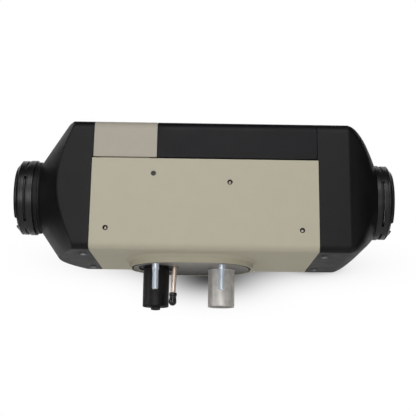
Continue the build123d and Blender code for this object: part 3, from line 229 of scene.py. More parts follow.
def empty_tree(owner: bpy.types.Material | bpy.types.World) -> Tree:
    """Returns the node tree of a material or world, with no nodes in it."""
    owner.use_nodes = True
    owner.node_tree.nodes.clear()
    return Tree(owner.node_tree)


@dataclass(frozen=True)
class Patches:
    """Noise that is 0 below low and 1 above high, at scale cycles per metre."""

    scale: float
    detail: float
    low: float
    high: float

    def place(self, tree: Tree, at: Socket) -> Socket:
        """Returns the patches' mask on the given coordinates."""
        return tree.spread(tree.noise(at, self.scale, self.detail), self.low, self.high)


class EffectGroup:
    """A shader effect that several finishes share, built once as a node group."""

    title: str
    takes: dict[str, float]
    gives: dict[str, Kind]

    @cache
    def group(self) -> bpy.types.NodeTree:
        """Returns the node group, and builds it on the first call."""
        tree = bpy.data.node_groups.new(self.title, "ShaderNodeTree")
        for name, value in self.takes.items():
            socket = tree.interface.new_socket(name, in_out="INPUT", socket_type=Kind.NUMBER.value)
            socket.default_value = value
        for name, kind in self.gives.items():
            tree.interface.new_socket(name, in_out="OUTPUT", socket_type=kind.value)
        start = tree.nodes.new("NodeGroupInput")
        end = tree.nodes.new("NodeGroupOutput")
        self.wire(Tree(tree), start.outputs, end.inputs)
        return tree

    def wire(self, tree: Tree, start: Sockets, end: Sockets) -> None:
        """Joins the group's inputs to its outputs.

        Args:
            tree: the group's tree.
            start: output sockets of the group's input node.
            end: input sockets of the group's output node.
        """
        raise NotImplementedError

    def place(self, tree: Tree, **inputs: float) -> Sockets:
        """Adds the group to a material with that material's own values.

        Args:
            tree: the material's tree.
            **inputs: the group's inputs by name.

        Returns:
            The group's outputs.
        """
        return tree.add("ShaderNodeGroup", inputs, node_tree=self.group()).outputs


class MouldGrain(EffectGroup):
    """Spark-eroded mould texture: fine pits, a slower flow ripple, and tone drift."""

    title = "mould_grain"
    takes = {"Scale": 1800.0, "Flow": 60.0}
    gives = {"Height": Kind.NUMBER, "Tone": Kind.NUMBER}
    pit_octaves = 2.0
    flow_octaves = 3.0
    roughness = 0.5
    pit_share = 0.75
    tone_range: Range = (0.3, 0.7)

    def wire(self, tree: Tree, start: Sockets, end: Sockets) -> None:
        """Height is three parts pits to one part flow; Tone is the flow from 0 to 1."""
        at = tree.object_coordinates()
        pits = tree.noise(at, start["Scale"], self.pit_octaves, self.roughness)
        flow = tree.noise(at, start["Flow"], self.flow_octaves, self.roughness)
        tree.feed(end["Height"], tree.weigh(self.pit_share, pits, flow))
        tree.feed(end["Tone"], tree.spread(flow, *self.tone_range))


class EdgeWearAndHighlight(EffectGroup):
    """Mask of edges, lightened as rubbed wear and as a painted highlight: where a rounded normal
    leaves the true one, broken by noise.
    """

    title = "edge_wear_and_highlight"
    takes = {"Radius": 0.001, "Amount": 0.5}
    gives = {"Mask": Kind.NUMBER, "Normal": Kind.VECTOR}
    samples = 4
    turn_range: Range = (0.004, 0.09)
    broken = Patches(420.0, 3.0, 0.35, 0.65)

    def wire(self, tree: Tree, start: Sockets, end: Sockets) -> None:
        """Mask is (1 - rounded normal . true normal), spread, times noise and Amount."""
        bevel = tree.add("ShaderNodeBevel", {"Radius": start["Radius"]}, samples=self.samples)
        rounded = bevel.outputs["Normal"]
        true = tree.add("ShaderNodeNewGeometry").outputs["Normal"]
        product = tree.add("ShaderNodeVectorMath", {0: rounded, 1: true}, operation="DOT_PRODUCT")
        turn = tree.math("SUBTRACT", 1.0, product.outputs["Value"])
        edges = tree.spread(turn, *self.turn_range)
        broken = self.broken.place(tree, tree.object_coordinates())
        tree.feed(end["Mask"], tree.times(edges, broken, start["Amount"]))
        tree.feed(end["Normal"], rounded)


class DustFilm(EffectGroup):
    """Thin dust that gathers on faces that look up, in soft patches."""

    title = "dust_film"
    takes = {"Amount": 0.2}
    gives = {"Mask": Kind.NUMBER}
    up_range: Range = (-0.1, 0.9)
    least = 0.25
    patches = Patches(22.0, 4.0, 0.38, 0.72)
    specks = Patches(900.0, 1.0, 0.6, 0.75)
    speck_share = 0.6

    def wire(self, tree: Tree, start: Sockets, end: Sockets) -> None:
        """Mask is (patches + 0.6 specks) times Amount, and a quarter of it looking down."""
        up = tree.split(tree.add("ShaderNodeNewGeometry").outputs["Normal"])["Z"]
        facing = tree.spread(up, *self.up_range, self.least, 1.0)
        at = tree.object_coordinates()
        specks = tree.times(self.specks.place(tree, at), self.speck_share)
        dust = tree.plus(self.patches.place(tree, at), specks)
        tree.feed(end["Mask"], tree.times(dust, facing, start["Amount"]))


class CastSkin(EffectGroup):
    """Sand-like skin of a casting: coarse grains, pores, and a stained tone."""

    title = "cast_skin"
    takes = {"Scale": 900.0}
    gives = {"Height": Kind.NUMBER, "Tone": Kind.NUMBER, "Stain": Kind.NUMBER}
    octaves = 4.0
    roughness = 0.5
    grain_share = 0.7
    cell_scale = 0.5
    pore_range: Range = (0.05, 0.3)
    tone = Patches(160.0, 3.0, 0.3, 0.7)
    stain = Patches(45.0, 4.0, 0.52, 0.72)

    def wire(self, tree: Tree, start: Sockets, end: Sockets) -> None:
        """Height is grains, pitted at the middles of Voronoi cells; the rest is slow noise."""
        at = tree.object_coordinates()
        grains = tree.noise(at, start["Scale"], self.octaves, self.roughness)
        scale = tree.times(start["Scale"], self.cell_scale)
        cells = tree.add("ShaderNodeTexVoronoi", {"Vector": at, "Scale": scale})
        pores = tree.spread(cells.outputs["Distance"], *self.pore_range)
        tree.feed(end["Height"], tree.weigh(self.grain_share, grains, pores))
        tree.feed(end["Tone"], self.tone.place(tree, at))
        tree.feed(end["Stain"], self.stain.place(tree, at))


MOULD_GRAIN = MouldGrain()
EDGE_WEAR_AND_HIGHLIGHT = EdgeWearAndHighlight()
DUST_FILM = DustFilm()
CAST_SKIN = CastSkin()


def shade(colour: Colour, factor: float) -> Colour:
    """Returns the colour times factor, no channel above 1."""
    return tuple(min(1.0, channel * factor) for channel in colour)


@dataclass(frozen=True)
class Finish:
    """A material of the heater. A subclass wires what its surface shows.

    Its roughness goes from roughness + swing[0] to roughness + swing[1].
    """

    name: str
    colour: Colour
    roughness: float = 0.5
    swing: Range = (0.0, 0.0)

    @cache
    def material(self) -> bpy.types.Material:
        """Returns the material, and builds it on the first call."""
        made = bpy.data.materials.new(self.name)
        tree = empty_tree(made)
        shader = tree.add("ShaderNodeBsdfPrincipled")
        tree.add("ShaderNodeOutputMaterial", {"Surface": shader.outputs["BSDF"]})
        self.wire(tree, shader.inputs)
        return made

    def wire(self, tree: Tree, shader: Sockets) -> None:
        """Fills the shader's sockets.

        Args:
            tree: the material's tree.
            shader: the inputs of its Principled BSDF.
        """
        raise NotImplementedError

    def uneven(self, tree: Tree, mask: Socket) -> Socket:
        """Returns the roughness, at its smoothest where the mask is 0."""
        smooth, rough = self.swing
        return tree.spread(mask, 0.0, 1.0, self.roughness + smooth, self.roughness + rough)

    def bump(self, tree: Tree, height: Socket, depth: float, **start: Socket) -> Socket:
        """Returns the normal of a surface with a relief.

        Args:
            tree: the material's tree.
            height: height socket, 0 to 1.
            depth: metres between height 0 and 1.
            **start: Normal, where the relief lies on another normal than the true one.

        Returns:
            The normal socket.
        """
        inputs = {"Strength": 1.0, "Distance": depth, "Height": height, **start}
        return tree.add("ShaderNodeBump", inputs).outputs["Normal"]


@dataclass(frozen=True)
class MouldedPlastic(Finish):
    """Injection-moulded plastic with mould grain, tone drift, edges lightened as wear and painted
    highlight, and dust.
    """

    swing: Range = (-0.04, 0.05)
    drift: float = 0.06
    grain_scale: float = 1800.0
    grain_depth: float = 0.04 * MM
    # how many edges lighten and by how much: rubbed wear and a painted highlight
    wear_and_highlight: float = 0.4
    wear_and_highlight_tone: float = 1.5
    edge_radius: float = 0.8 * MM
    dust: float = 0.15
    dust_colour: Colour = (0.34, 0.33, 0.31)
    dust_roughness: float = 0.5
    specular: float = 0.5

    def wire(self, tree: Tree, shader: Sockets) -> None:
        """Colour drifts by the grain's tone, lightens on edges as wear and a painted highlight, and
        greys under dust.
        """
        grain = MOULD_GRAIN.place(tree, Scale=self.grain_scale)
        edges = EDGE_WEAR_AND_HIGHLIGHT.place(tree, Radius=self.edge_radius, Amount=self.wear_and_highlight)
        film = DUST_FILM.place(tree, Amount=self.dust)
        dark, pale = (shade(self.colour, 1.0 + sign * self.drift) for sign in (-1.0, 1.0))
        drifted = tree.mix(grain["Tone"], dark, pale)
        # edges lighten, partly as rubbed wear and partly as a painted highlight where rounded edges
        # would catch light
        worn_and_highlit = tree.mix(edges["Mask"], drifted, shade(self.colour, self.wear_and_highlight_tone))
        tree.feed(shader["Base Color"], tree.mix(film["Mask"], worn_and_highlit, self.dust_colour))
        dulled = tree.times(film["Mask"], self.dust_roughness)
        tree.feed(shader["Roughness"], tree.plus(self.uneven(tree, grain["Tone"]), dulled))
        tree.feed(shader["Specular IOR Level"], self.specular)
        normal = self.bump(tree, grain["Height"], self.grain_depth, Normal=edges["Normal"])
        tree.feed(shader["Normal"], normal)


@dataclass(frozen=True)
class CastMetal(Finish):
    """Cast metal: sandy skin in two tones, with pores and brown-grey stains.

    On the flange, above a set height, it is bare metal and carries a painted shade: its colour dims
    from a front tone to a rear tone over a set reach, front to back, in place of the body's shade
    there.
    """

    roughness: float = 0.55
    swing: Range = (-0.06, 0.1)
    tones: Range = (0.86, 1.12)
    stain: Colour = (0.16, 0.14, 0.12)
    stain_share: float = 0.35
    metallic: float = 0.75
    grain_scale: float = 900.0
    grain_depth: float = 0.12 * MM
    # painted shade on the flange: the height where it starts, and its front and rear tones
    painted_shade_from: float | None = None
    painted_shade_front: float = 1.0
    painted_shade_rear: float = 1.0
    painted_shade_reach: Range = (-38.0 * MM, 42.0 * MM)
    specular: float = 0.2

    def wire(self, tree: Tree, shader: Sockets) -> None:
        """Colour is two tones of metal, stained by noise, and darkened on the flange by a painted
        shade.
        """
        skin = CAST_SKIN.place(tree, Scale=self.grain_scale)
        dark, pale = (shade(self.colour, tone) for tone in self.tones)
        tones = tree.mix(skin["Tone"], dark, pale)
        colour = tree.mix(tree.times(skin["Stain"], self.stain_share), tones, self.stain)
        metallic = self.metallic
        # painted shade: above this height the flange's colour is scaled down from front to back, in
        # place of the body's shadow
        if self.painted_shade_from is not None:
            place = tree.split(tree.object_coordinates())
            step = (place["Z"], self.painted_shade_from, self.painted_shade_from + MM)
            painted_shade = tree.spread(place["Y"], *self.painted_shade_reach, self.painted_shade_front, self.painted_shade_rear)
            scale = {0: colour, "Scale": tree.spread(*step, 1.0, painted_shade)}
            colour = tree.add("ShaderNodeVectorMath", scale, operation="SCALE").outputs[0]
            metallic = tree.spread(*step, self.metallic, 1.0)
        tree.feed(shader["Base Color"], colour)
        tree.feed(shader["Roughness"], self.uneven(tree, skin["Tone"]))
        tree.feed(shader["Metallic"], metallic)
        tree.feed(shader["Specular IOR Level"], self.specular)
        tree.feed(shader["Normal"], self.bump(tree, skin["Height"], self.grain_depth))


@dataclass(frozen=True)
class TurnedMetal(Finish):
    """Turned or plated steel: fine rings round the given axis, smudged roughness."""

    roughness: float = 0.3
    swing: Range = (-0.06, 0.12)
    rings: float = 2500.0
    ring_octaves: float = 2.0
    ring_depth: float = 0.01 * MM
    ring_stretch: float = 0.06
    axis: Axis3 = Axis3.Z
    tint: Colour | None = None
    tint_tone: float = 0.82
    smudges: Patches = Patches(180.0, 3.0, 0.35, 0.7)

    def wire(self, tree: Tree, shader: Sockets) -> None:
        """Height is noise stretched round the axis, so it reads as tool rings.

        Smudges turn the colour to the tint or, without one, to tint_tone of itself.
        """
        at = tree.object_coordinates()
        squeeze = tuple(1.0 if along else self.ring_stretch for along in self.axis.value)
        mapping = tree.add("ShaderNodeMapping", {"Vector": at, "Scale": squeeze})
        rings = tree.noise(mapping.outputs["Vector"], self.rings, self.ring_octaves)
        smudges = self.smudges.place(tree, at)
        tint = self.tint or shade(self.colour, self.tint_tone)
        tree.feed(shader["Base Color"], tree.mix(smudges, self.colour, tint))
        tree.feed(shader["Metallic"], 1.0)
        tree.feed(shader["Roughness"], self.uneven(tree, smudges))
        tree.feed(shader["Normal"], self.bump(tree, rings, self.ring_depth))


@dataclass(frozen=True)
class Rubber(Finish):
    """Moulded rubber: soft bloom, faint pores, and a gloss of its own."""

    roughness: float = 0.55
    swing: Range = (-0.05, 0.12)
    coat: float = 0.0
    coat_roughness: float = 0.12
    bloom: float = 0.2
    bloom_colour: Colour = (0.12, 0.12, 0.12)
    patches: Patches = Patches(90.0, 4.0, 0.45, 0.75)
    pores: float = 1500.0
    pore_octaves: float = 2.0
    pore_depth: float = 0.03 * MM

    def wire(self, tree: Tree, shader: Sockets) -> None:
        """Colour greys with the bloom's patches; the bump is fine pores."""
        at = tree.object_coordinates()
        patches = self.patches.place(tree, at)
        colour = tree.mix(tree.times(patches, self.bloom), self.colour, self.bloom_colour)
        tree.feed(shader["Base Color"], colour)
        tree.feed(shader["Roughness"], self.uneven(tree, patches))
        tree.feed(shader["Coat Weight"], self.coat)
        tree.feed(shader["Coat Roughness"], self.coat_roughness)
        pores = tree.noise(at, self.pores, self.pore_octaves)
        tree.feed(shader["Normal"], self.bump(tree, pores, self.pore_depth))


# ---- the heater's finishes ------------------------------------------------------------
COARSE_GRAIN = {"grain_scale": 1500.0, "grain_depth": 0.05 * MM}
PALE_DUST: Colour = (0.42, 0.40, 0.36)
BEIGE_SHELL = MouldedPlastic(
    "beige_moulded_shell", (0.475, 0.443, 0.338), roughness=0.55, drift=0.018, specular=0.4,
    wear_and_highlight=0.45, wear_and_highlight_tone=1.35, dust=0.03, dust_colour=PALE_DUST, **COARSE_GRAIN,
)
BEIGE_COVER = MouldedPlastic(
    "beige_service_cover", (0.414, 0.383, 0.316), roughness=0.57, drift=0.03, specular=0.4,
    wear_and_highlight=0.35, wear_and_highlight_tone=1.25, dust=0.06, dust_colour=PALE_DUST, **COARSE_GRAIN,
)
BLACK_COVER = MouldedPlastic(
    "black_moulded_cover", (0.0050, 0.0047, 0.0062), roughness=0.48, drift=0.12,
    wear_and_highlight=0.25, wear_and_highlight_tone=3.0, dust=0.006, specular=0.18,
)
BLACK_HOOD = MouldedPlastic(
    "black_moulded_hood", (0.0053, 0.0048, 0.0056), roughness=0.46, drift=0.12,
    # painted highlight: the hood's edges and crease lighten to fifteen times its colour
    wear_and_highlight=0.75, wear_and_highlight_tone=15.0, edge_radius=1.1 * MM, dust=0.008, specular=0.22,
)
BLACK_COLLAR = MouldedPlastic(
    "black_collar", (0.007, 0.007, 0.0072), roughness=0.32, drift=0.15,
    grain_scale=2600.0, grain_depth=0.02 * MM, wear_and_highlight=0.25, wear_and_highlight_tone=4.0, dust=0.01,
)
INTAKE_BLACK = MouldedPlastic(
    "intake_pipe_black", (0.0040, 0.0040, 0.0045), roughness=0.46, drift=0.15,
    grain_depth=0.03 * MM, wear_and_highlight=0.3, wear_and_highlight_tone=6.0, dust=0.003, specular=0.34,
)
INNER_PLASTIC = MouldedPlastic("inner_plastic", (0.03, 0.03, 0.032), dust=0.12)
GUIDE_PLASTIC = MouldedPlastic("grey_air_guide", (0.045, 0.045, 0.048), dust=0.1)
SOCKET_PLASTIC = MouldedPlastic("pale_socket", (0.32, 0.32, 0.3), dust=0.08)
GASKET = MouldedPlastic(
    "graphite_gasket", (0.08, 0.08, 0.085), roughness=0.7, grain_scale=900.0, wear_and_highlight=0.0
)
CAST_ALUMINIUM = CastMetal(
    "sand_cast_aluminium", (0.71, 0.69, 0.665), stain_share=0.12, roughness=0.46,
    metallic=0.66, grain_scale=800.0, specular=0.25,
    # the flange's painted shade: 0.56 of the colour at the front, 0.04 at the back
    painted_shade_from=-1.2 * MM, painted_shade_front=0.56, painted_shade_rear=0.04,
)
BLOWER_ALUMINIUM = CastMetal(
    "die_cast_aluminium", (0.52, 0.52, 0.52), stain_share=0.15, roughness=0.45
)
ZINC_STEEL = TurnedMetal(
    "blue_zinc_steel", (0.85, 0.91, 0.98), roughness=0.42, tint=(0.73, 0.81, 0.93)
)
DARK_ZINC = TurnedMetal("dark_hood_screw", (0.30, 0.30, 0.32), roughness=0.35)
# painted shade: a dark lining that stands in for the shade deep in the screw recesses
RECESS_SHADE_CUP = TurnedMetal("recess_shade_cup", (0.10, 0.092, 0.075), roughness=0.5, axis=Axis3.Y)
DULL_SCREW = TurnedMetal("dull_screw_steel", (0.56, 0.53, 0.46), roughness=0.42, axis=Axis3.Y)
FUEL_METAL = TurnedMetal(
    "champagne_fuel_line", (0.84, 0.71, 0.61), roughness=0.38, tint=(0.75, 0.62, 0.51)
)
BURNER_STEEL = TurnedMetal(
    "heat_tinted_steel", (0.42, 0.37, 0.32), roughness=0.4, axis=Axis3.X, tint=(0.30, 0.22, 0.2)
)
MOTOR_STEEL = TurnedMetal("motor_can", (0.45, 0.46, 0.48), roughness=0.32, axis=Axis3.X)
BRIGHT_STEEL = TurnedMetal("bright_steel", (0.62, 0.62, 0.63), roughness=0.22, axis=Axis3.X)
SPRING_STEEL = TurnedMetal("plain_spring_steel", (0.5, 0.5, 0.52), roughness=0.3)
UNIT_PLATE = TurnedMetal("unit_plate", (0.6, 0.6, 0.62), roughness=0.35, axis=Axis3.X)
MATT_RUBBER = Rubber("matt_rubber", (0.011, 0.011, 0.0115))
GLOSS_RUBBER = Rubber("gloss_rubber", (0.004, 0.004, 0.004), roughness=0.25, coat=0.25, bloom=0.02)

NODE_FINISHES: dict[str, Finish] = {
    "lower_shell": BEIGE_SHELL,
    "service_cover": BEIGE_COVER,
    "upper_cover": BLACK_COVER,
    "inlet_hood": BLACK_HOOD,
    "outlet_hood": BLACK_HOOD,
    "inlet_collar": BLACK_COLLAR,
    "outlet_collar": BLACK_COLLAR,
    "inlet_grille": BLACK_COLLAR,
    "outlet_grille": BLACK_COLLAR,
    "heat_exchanger": CAST_ALUMINIUM,
    "burner": BURNER_STEEL,
    "burner_gasket": GASKET,
    "glow_plug": BRIGHT_STEEL,
    "temperature_sensor": BRIGHT_STEEL,
    "sensor_clip": SPRING_STEEL,
    "mounting_studs": ZINC_STEEL,
    "combustion_air_pipe": INTAKE_BLACK,
    "intake_plug": MATT_RUBBER,
    "fuel_pipe": FUEL_METAL,
    "fuel_pipe_cap": GLOSS_RUBBER,
    "blower_housing": BLOWER_ALUMINIUM,
    "blower_cover": BLOWER_ALUMINIUM,
    "blower_screws": ZINC_STEEL,
    "motor": MOTOR_STEEL,
    "shaft_bearings": BRIGHT_STEEL,
    "rotor_shaft": BRIGHT_STEEL,
    "combustion_impeller": INNER_PLASTIC,
    "fan_wheel": INNER_PLASTIC,
    "fan_clip": SPRING_STEEL,
    "air_guide": GUIDE_PLASTIC,
    "control_unit": INNER_PLASTIC,
    "control_unit_lid": UNIT_PLATE,
    "control_socket": SOCKET_PLASTIC,
    "harness_grommet": MATT_RUBBER,
    "side_plug": MATT_RUBBER,
    "side_screws": DULL_SCREW,
    "hood_screws": DARK_ZINC,
}


def dress_node(name: str, finish: Finish) -> None:
    """Puts a finish on a CAD node's material slots.

    Args:
        name: the node.
        finish: what its surface gets.
    """
    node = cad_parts[name]
    if not node.material_slots:
        node.data.materials.append(None)
    for slot in node.material_slots:
        slot.material = finish.material()


# ---- the studio -----------------------------------------------------------------------
def add_object(name: str, data: bpy.types.ID) -> bpy.types.Object:
    """Returns a new object of the given data, in the scene."""
    made = bpy.data.objects.new(name, data)
    bpy.context.scene.collection.objects.link(made)
    return made


@dataclass(frozen=True)
class Lamp:
    """One soft white area lamp, aimed at the heater's middle."""

    name: str
    place: Triple
    size: float
    watts: float

    def build(self, target: Vector) -> None:
        """Adds the lamp to the scene, shining at the target."""
        data = bpy.data.lights.new(self.name, "AREA")
        data.shape = "DISK"
        data.size = self.size
        data.energy = self.watts
        lamp = add_object(self.name, data)
        lamp.location = self.place
        lamp.rotation_mode = "QUATERNION"
        lamp.rotation_quaternion = (target - Vector(self.place)).to_track_quat("-Z", "Y")


@dataclass(frozen=True)
class PaintedShadow:
    """A painted shadow on the rear sheet, a soft dark patch: middle (x, z), half widths and depth.
    """

    middle: tuple[float, float]
    spread: tuple[float, float]
    depth: float


@dataclass
class Studio:
    """Camera at the photograph's angle, soft lamps, white world, floor and rear sheet.

    The floor turns plain white between fade_from and fade_to of its half sizes. A
    mirror shows white where its ray's Y part is past backdrop. The world's glow
    grows as a ray's Z part goes from glow_from to glow_full.
    """

    lens: float = 81.72
    sensor: float = 36.0
    eye: Triple = (0.01339, -0.9283, -0.1306)
    yaw: float = 0.0048
    pitch: float = 0.2050
    roll: float = 0.0139
    target: Triple = (BODY_MIDDLE, 0.0, DUCT_AXIS)
    floor_height: float = -40.5 * MM
    sheet_depth: float = 73.5 * MM
    half_width: float = 270.0 * MM
    half_length: float = 300.0 * MM
    fade_from: float = 0.62
    fade_to: float = 0.97
    backdrop: Range = (0.80, 0.94)
    glow: float = 0.80
    glow_from: float = -0.2
    glow_full: float = -0.9
    glow_colour: Colour = (1.0, 0.995, 0.985)
    paper_tone: float = 0.80
    paper_gain: float = 3.4
    mirror_gain: float = 1.0
    # painted shadows on the rear sheet: soft dark patches under and behind the body
    painted_shadows: tuple[PaintedShadow, ...] = (
        PaintedShadow((0.0267, 0.0189), (0.1008, 0.0172), 1.0),
        PaintedShadow((0.0212, 0.0020), (0.0472, 0.0197), 0.92),
        PaintedShadow((0.1321, 0.0131), (0.0210, 0.0050), 1.0),
    )
    lamps: tuple[Lamp, ...] = (
        Lamp("high_lamp", (0.0, -1.3, 1.3), 1.0, 9.4),
        Lamp("middle_lamp", (0.0, -1.4, 0.8), 1.0, 4.0),
        Lamp("level_lamp", (-0.15, -1.60, -0.12), 1.1, 9.3),
        Lamp("left_lamp", (-1.7, -0.6, 0.30), 0.9, 5.2),
        Lamp("right_lamp", (1.7, -0.8, 0.25), 1.2, 1.9),
        Lamp("rear_lamp", (0.25, 1.7, 0.55), 1.2, 15.0),
    )

    def build(self) -> None:
        """Adds everything that isn't part of the heater."""
        self.build_camera()
        self.build_world()
        for lamp in self.lamps:
            lamp.build(Vector(self.target))
        floor = Vector((BODY_MIDDLE, 0, self.floor_height))
        self.build_sheet("floor", floor, Vector((0, 0, 1)), ())
        rear = Vector((BODY_MIDDLE, self.sheet_depth, 0))
        self.build_sheet("rear_sheet", rear, Vector((0, -1, 0)), self.painted_shadows)

    def build_camera(self) -> None:
        """Sets the camera from yaw, pitch and roll about the line of sight."""
        flat = math.cos(self.pitch)
        sight = Vector((math.sin(self.yaw) * flat, math.cos(self.yaw) * flat, math.sin(self.pitch)))
        level = Vector((math.cos(self.yaw), -math.sin(self.yaw), 0.0))
        top = level.cross(sight)
        right = level * math.cos(self.roll) + top * math.sin(self.roll)
        up = top * math.cos(self.roll) - level * math.sin(self.roll)
        turn = Matrix((right, up, -sight)).transposed()
        data = bpy.data.cameras.new("photo_camera")
        data.lens = self.lens
        data.sensor_width = self.sensor
        camera = add_object("photo_camera", data)
        camera.matrix_world = Matrix.Translation(self.eye) @ turn.to_4x4()
        bpy.context.scene.camera = camera

    def build_world(self) -> None:
        """White where the camera looks and metal mirrors the rear; else a low glow."""
        world = bpy.data.worlds.new("studio_world")
        bpy.context.scene.world = world
        tree = empty_tree(world)
        path = tree.add("ShaderNodeLightPath").outputs
        ray = tree.split(tree.add("ShaderNodeTexCoord").outputs["Generated"])
        behind = tree.spread(ray["Y"], *self.backdrop)
        shown = tree.plus(path["Is Camera Ray"], tree.times(tree.mirror_rays(path), behind))
        glow = tree.spread(ray["Z"], self.glow_from, self.glow_full, 0.0, self.glow)
        light, seen = (
            tree.add("ShaderNodeBackground", {"Color": colour, "Strength": strength}).outputs[0]
            for colour, strength in ((self.glow_colour, glow), (WHITE, 1.0))
        )
        mixed = tree.blend(tree.math("MINIMUM", shown, 1.0), light, seen)
        tree.add("ShaderNodeOutputWorld", {"Surface": mixed})

    def build_sheet(
        self, name: str, middle: Vector, normal: Vector, painted_shadows: tuple[PaintedShadow, ...]
    ) -> None:
        """Adds a pale sheet that is seen from its front only and casts no shadow.

        Args:
            name: the sheet's name.
            middle: its centre.
            normal: the way that its front faces.
            painted_shadows: painted shadows that it shows, soft dark patches.
        """
        side = Vector((self.half_width, 0, 0))
        rise = normal.cross(Vector((1, 0, 0))) * self.half_length
        corners = [middle + side * a + rise * b for a, b in ((-1, -1), (1, -1), (1, 1), (-1, 1))]
        mesh = bpy.data.meshes.new(name)
        mesh.from_pydata(corners, [], [(0, 1, 2, 3)])
        mesh.materials.append(self.sheet_material(f"{name}_paper", painted_shadows))
        sheet = add_object(name, mesh)
        sheet.visible_shadow = False
        sheet.visible_diffuse = False

    def sheet_material(self, name: str, painted_shadows: tuple[PaintedShadow, ...]) -> bpy.types.Material:
        """Returns a sheet's paper: matt, and brighter where a camera looks.

        A sheet with painted shadows shows the camera what is behind it times, for each painted
        shadow, one less its depth times exp(-((x - x0) / sx)^2 - ((z - z0) / sz)^2). Mirror rays
        see the lit paper times the same, a painted reflection of the painted shadows. A sheet with
        none fades to plain white before its rim.

        Args:
            name: the material's name.
            painted_shadows: the sheet's painted shadows, soft dark patches.

        Returns:
            The material.
        """
        made = bpy.data.materials.new(name)
        tree = empty_tree(made)
        path = tree.add("ShaderNodeLightPath").outputs
        camera = path["Is Camera Ray"]
        looked = tree.math("MINIMUM", tree.plus(camera, tree.mirror_rays(path)), 1.0)
        level = self.shade_level(tree, painted_shadows)
        gain = tree.spread(camera, 0.0, 1.0, self.mirror_gain, self.paper_gain)
        matt, bright = (
            tree.add("ShaderNodeBsdfDiffuse", {"Color": colour}).outputs[0]
            for colour in ((self.paper_tone,) * 3, tree.grey(tree.times(gain, level)))
        )
        front = tree.blend(looked, matt, bright)
        # the camera sees what lies behind the sheet, darkened by its painted shadows
        if painted_shadows:
            painted_shadow_veil = tree.add("ShaderNodeBsdfTransparent", {"Color": tree.grey(level)}).outputs[0]
            front = tree.blend(camera, front, painted_shadow_veil)
        else:
            white = tree.add("ShaderNodeEmission", {"Strength": 1.0}).outputs[0]
            front = tree.blend(tree.times(camera, self.rim_fade(tree)), front, white)
        back = tree.add("ShaderNodeNewGeometry").outputs["Backfacing"]
        clear = tree.add("ShaderNodeBsdfTransparent").outputs[0]
        tree.add("ShaderNodeOutputMaterial", {"Surface": tree.blend(back, front, clear)})
        return made

    def rim_fade(self, tree: Tree) -> Socket:
        """Returns how plain white the floor is: 0 under the heater, 1 before its rim."""
        inputs = {
            "Vector": tree.object_coordinates(),
            "Location": (-BODY_MIDDLE / self.half_width, 0.0, 0.0),
            "Scale": (1.0 / self.half_width, 1.0 / self.half_length, 0.0),
        }
        centred = tree.add("ShaderNodeMapping", inputs).outputs[0]
        far = tree.add("ShaderNodeVectorMath", {0: centred}, operation="LENGTH").outputs["Value"]
        return tree.spread(far, self.fade_from, self.fade_to)

    def shade_level(self, tree: Tree, painted_shadows: tuple[PaintedShadow, ...]) -> Source:
        """Returns how white a sheet shows under its painted shadows: a socket, or plain 1 if it has
        none.
        """
        at = tree.split(tree.object_coordinates())
        level = 1.0
        for patch in painted_shadows:
            reach = 0.0
            for part, middle, width in zip("XZ", patch.middle, patch.spread):
                off = tree.times(tree.math("SUBTRACT", at[part], middle), 1.0 / width)
                reach = tree.plus(tree.times(off, off), reach)
            dark = tree.math("EXPONENT", tree.times(reach, -1.0))
            left = tree.math("SUBTRACT", 1.0, tree.times(dark, patch.depth))
            level = tree.times(left, level)
        return level


# ---- numpy surfaces -------------------------------------------------------------------
def grid_faces(rows: int, columns: int) -> np.ndarray:
    """Returns the quads between rows of points, each row a closed ring, as (faces, 4)."""
    i, j = np.meshgrid(np.arange(rows - 1) * columns, np.arange(columns), indexing="ij")
    k = (j + 1) % columns
    return np.stack([i + j, i + k, i + columns + k, i + columns + j], axis=-1).reshape(-1, 4)


def surface(name: str, points: np.ndarray, caps: bool = True) -> bpy.types.Object:
    """Makes an object of a grid of points, with fans that close its two ends.

    Args:
        name: the piece's name.
        points: array of shape (rows, columns, 3) in metres, each row a closed ring.
        caps: whether the first and last rows are closed by a fan to their centre.

    Returns:
        The linked object, welded, with its faces turned outwards and shaded smooth.
    """
    rows, columns, _ = points.shape
    vertices = points.reshape(-1, 3)
    faces = grid_faces(rows, columns).tolist()
    if caps:
        for row in (0, rows - 1):
            ring = row * columns + np.arange(columns)
            hub = np.full(columns, len(vertices))
            faces += np.stack([ring, np.roll(ring, -1), hub], axis=-1).tolist()
            vertices = np.vstack([vertices, points[row].mean(axis=0)])
    mesh = bpy.data.meshes.new(name)
    mesh.from_pydata(vertices.tolist(), [], faces)
    work = bmesh.new()
    work.from_mesh(mesh)
    bmesh.ops.remove_doubles(work, verts=work.verts, dist=WELD)
    bmesh.ops.recalc_face_normals(work, faces=work.faces)
    work.to_mesh(mesh)
    work.free()
    mesh.polygons.foreach_set("use_smooth", [True] * len(mesh.polygons))
    return add_object(name, mesh)


def turned(profile: np.ndarray, centre: Vector, axis: Vector, columns: int) -> np.ndarray:
    """Turns a profile about an axis.

    A point (h, r) of the profile at angle t lands at
    centre + h axis + r (cos t side + sin t across).

    Args:
        profile: array of (distance along the axis, radius) pairs.
        centre: the axis's foot.
        axis: its direction.
        columns: points round the axis.

    Returns:
        Points of shape (len(profile), columns, 3).
    """
    along = axis.normalized()
    side = along.orthogonal().normalized()
    across = along.cross(side)
    t = np.arange(columns)[:, None] * TAU / columns
    ring = np.cos(t) * np.array(side) + np.sin(t) * np.array(across)
    height, radius = profile.T[:, :, None, None]
    return np.array(centre) + height * np.array(along) + radius * ring


def finish_piece(piece: bpy.types.Object, finish: Finish) -> None:
    """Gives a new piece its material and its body.

    Args:
        piece: the object.
        finish: its material.
    """
    piece.data.materials.append(finish.material())
    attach(piece, HOUSING)
    log.info("%s: %d faces", piece.name, len(piece.data.polygons))


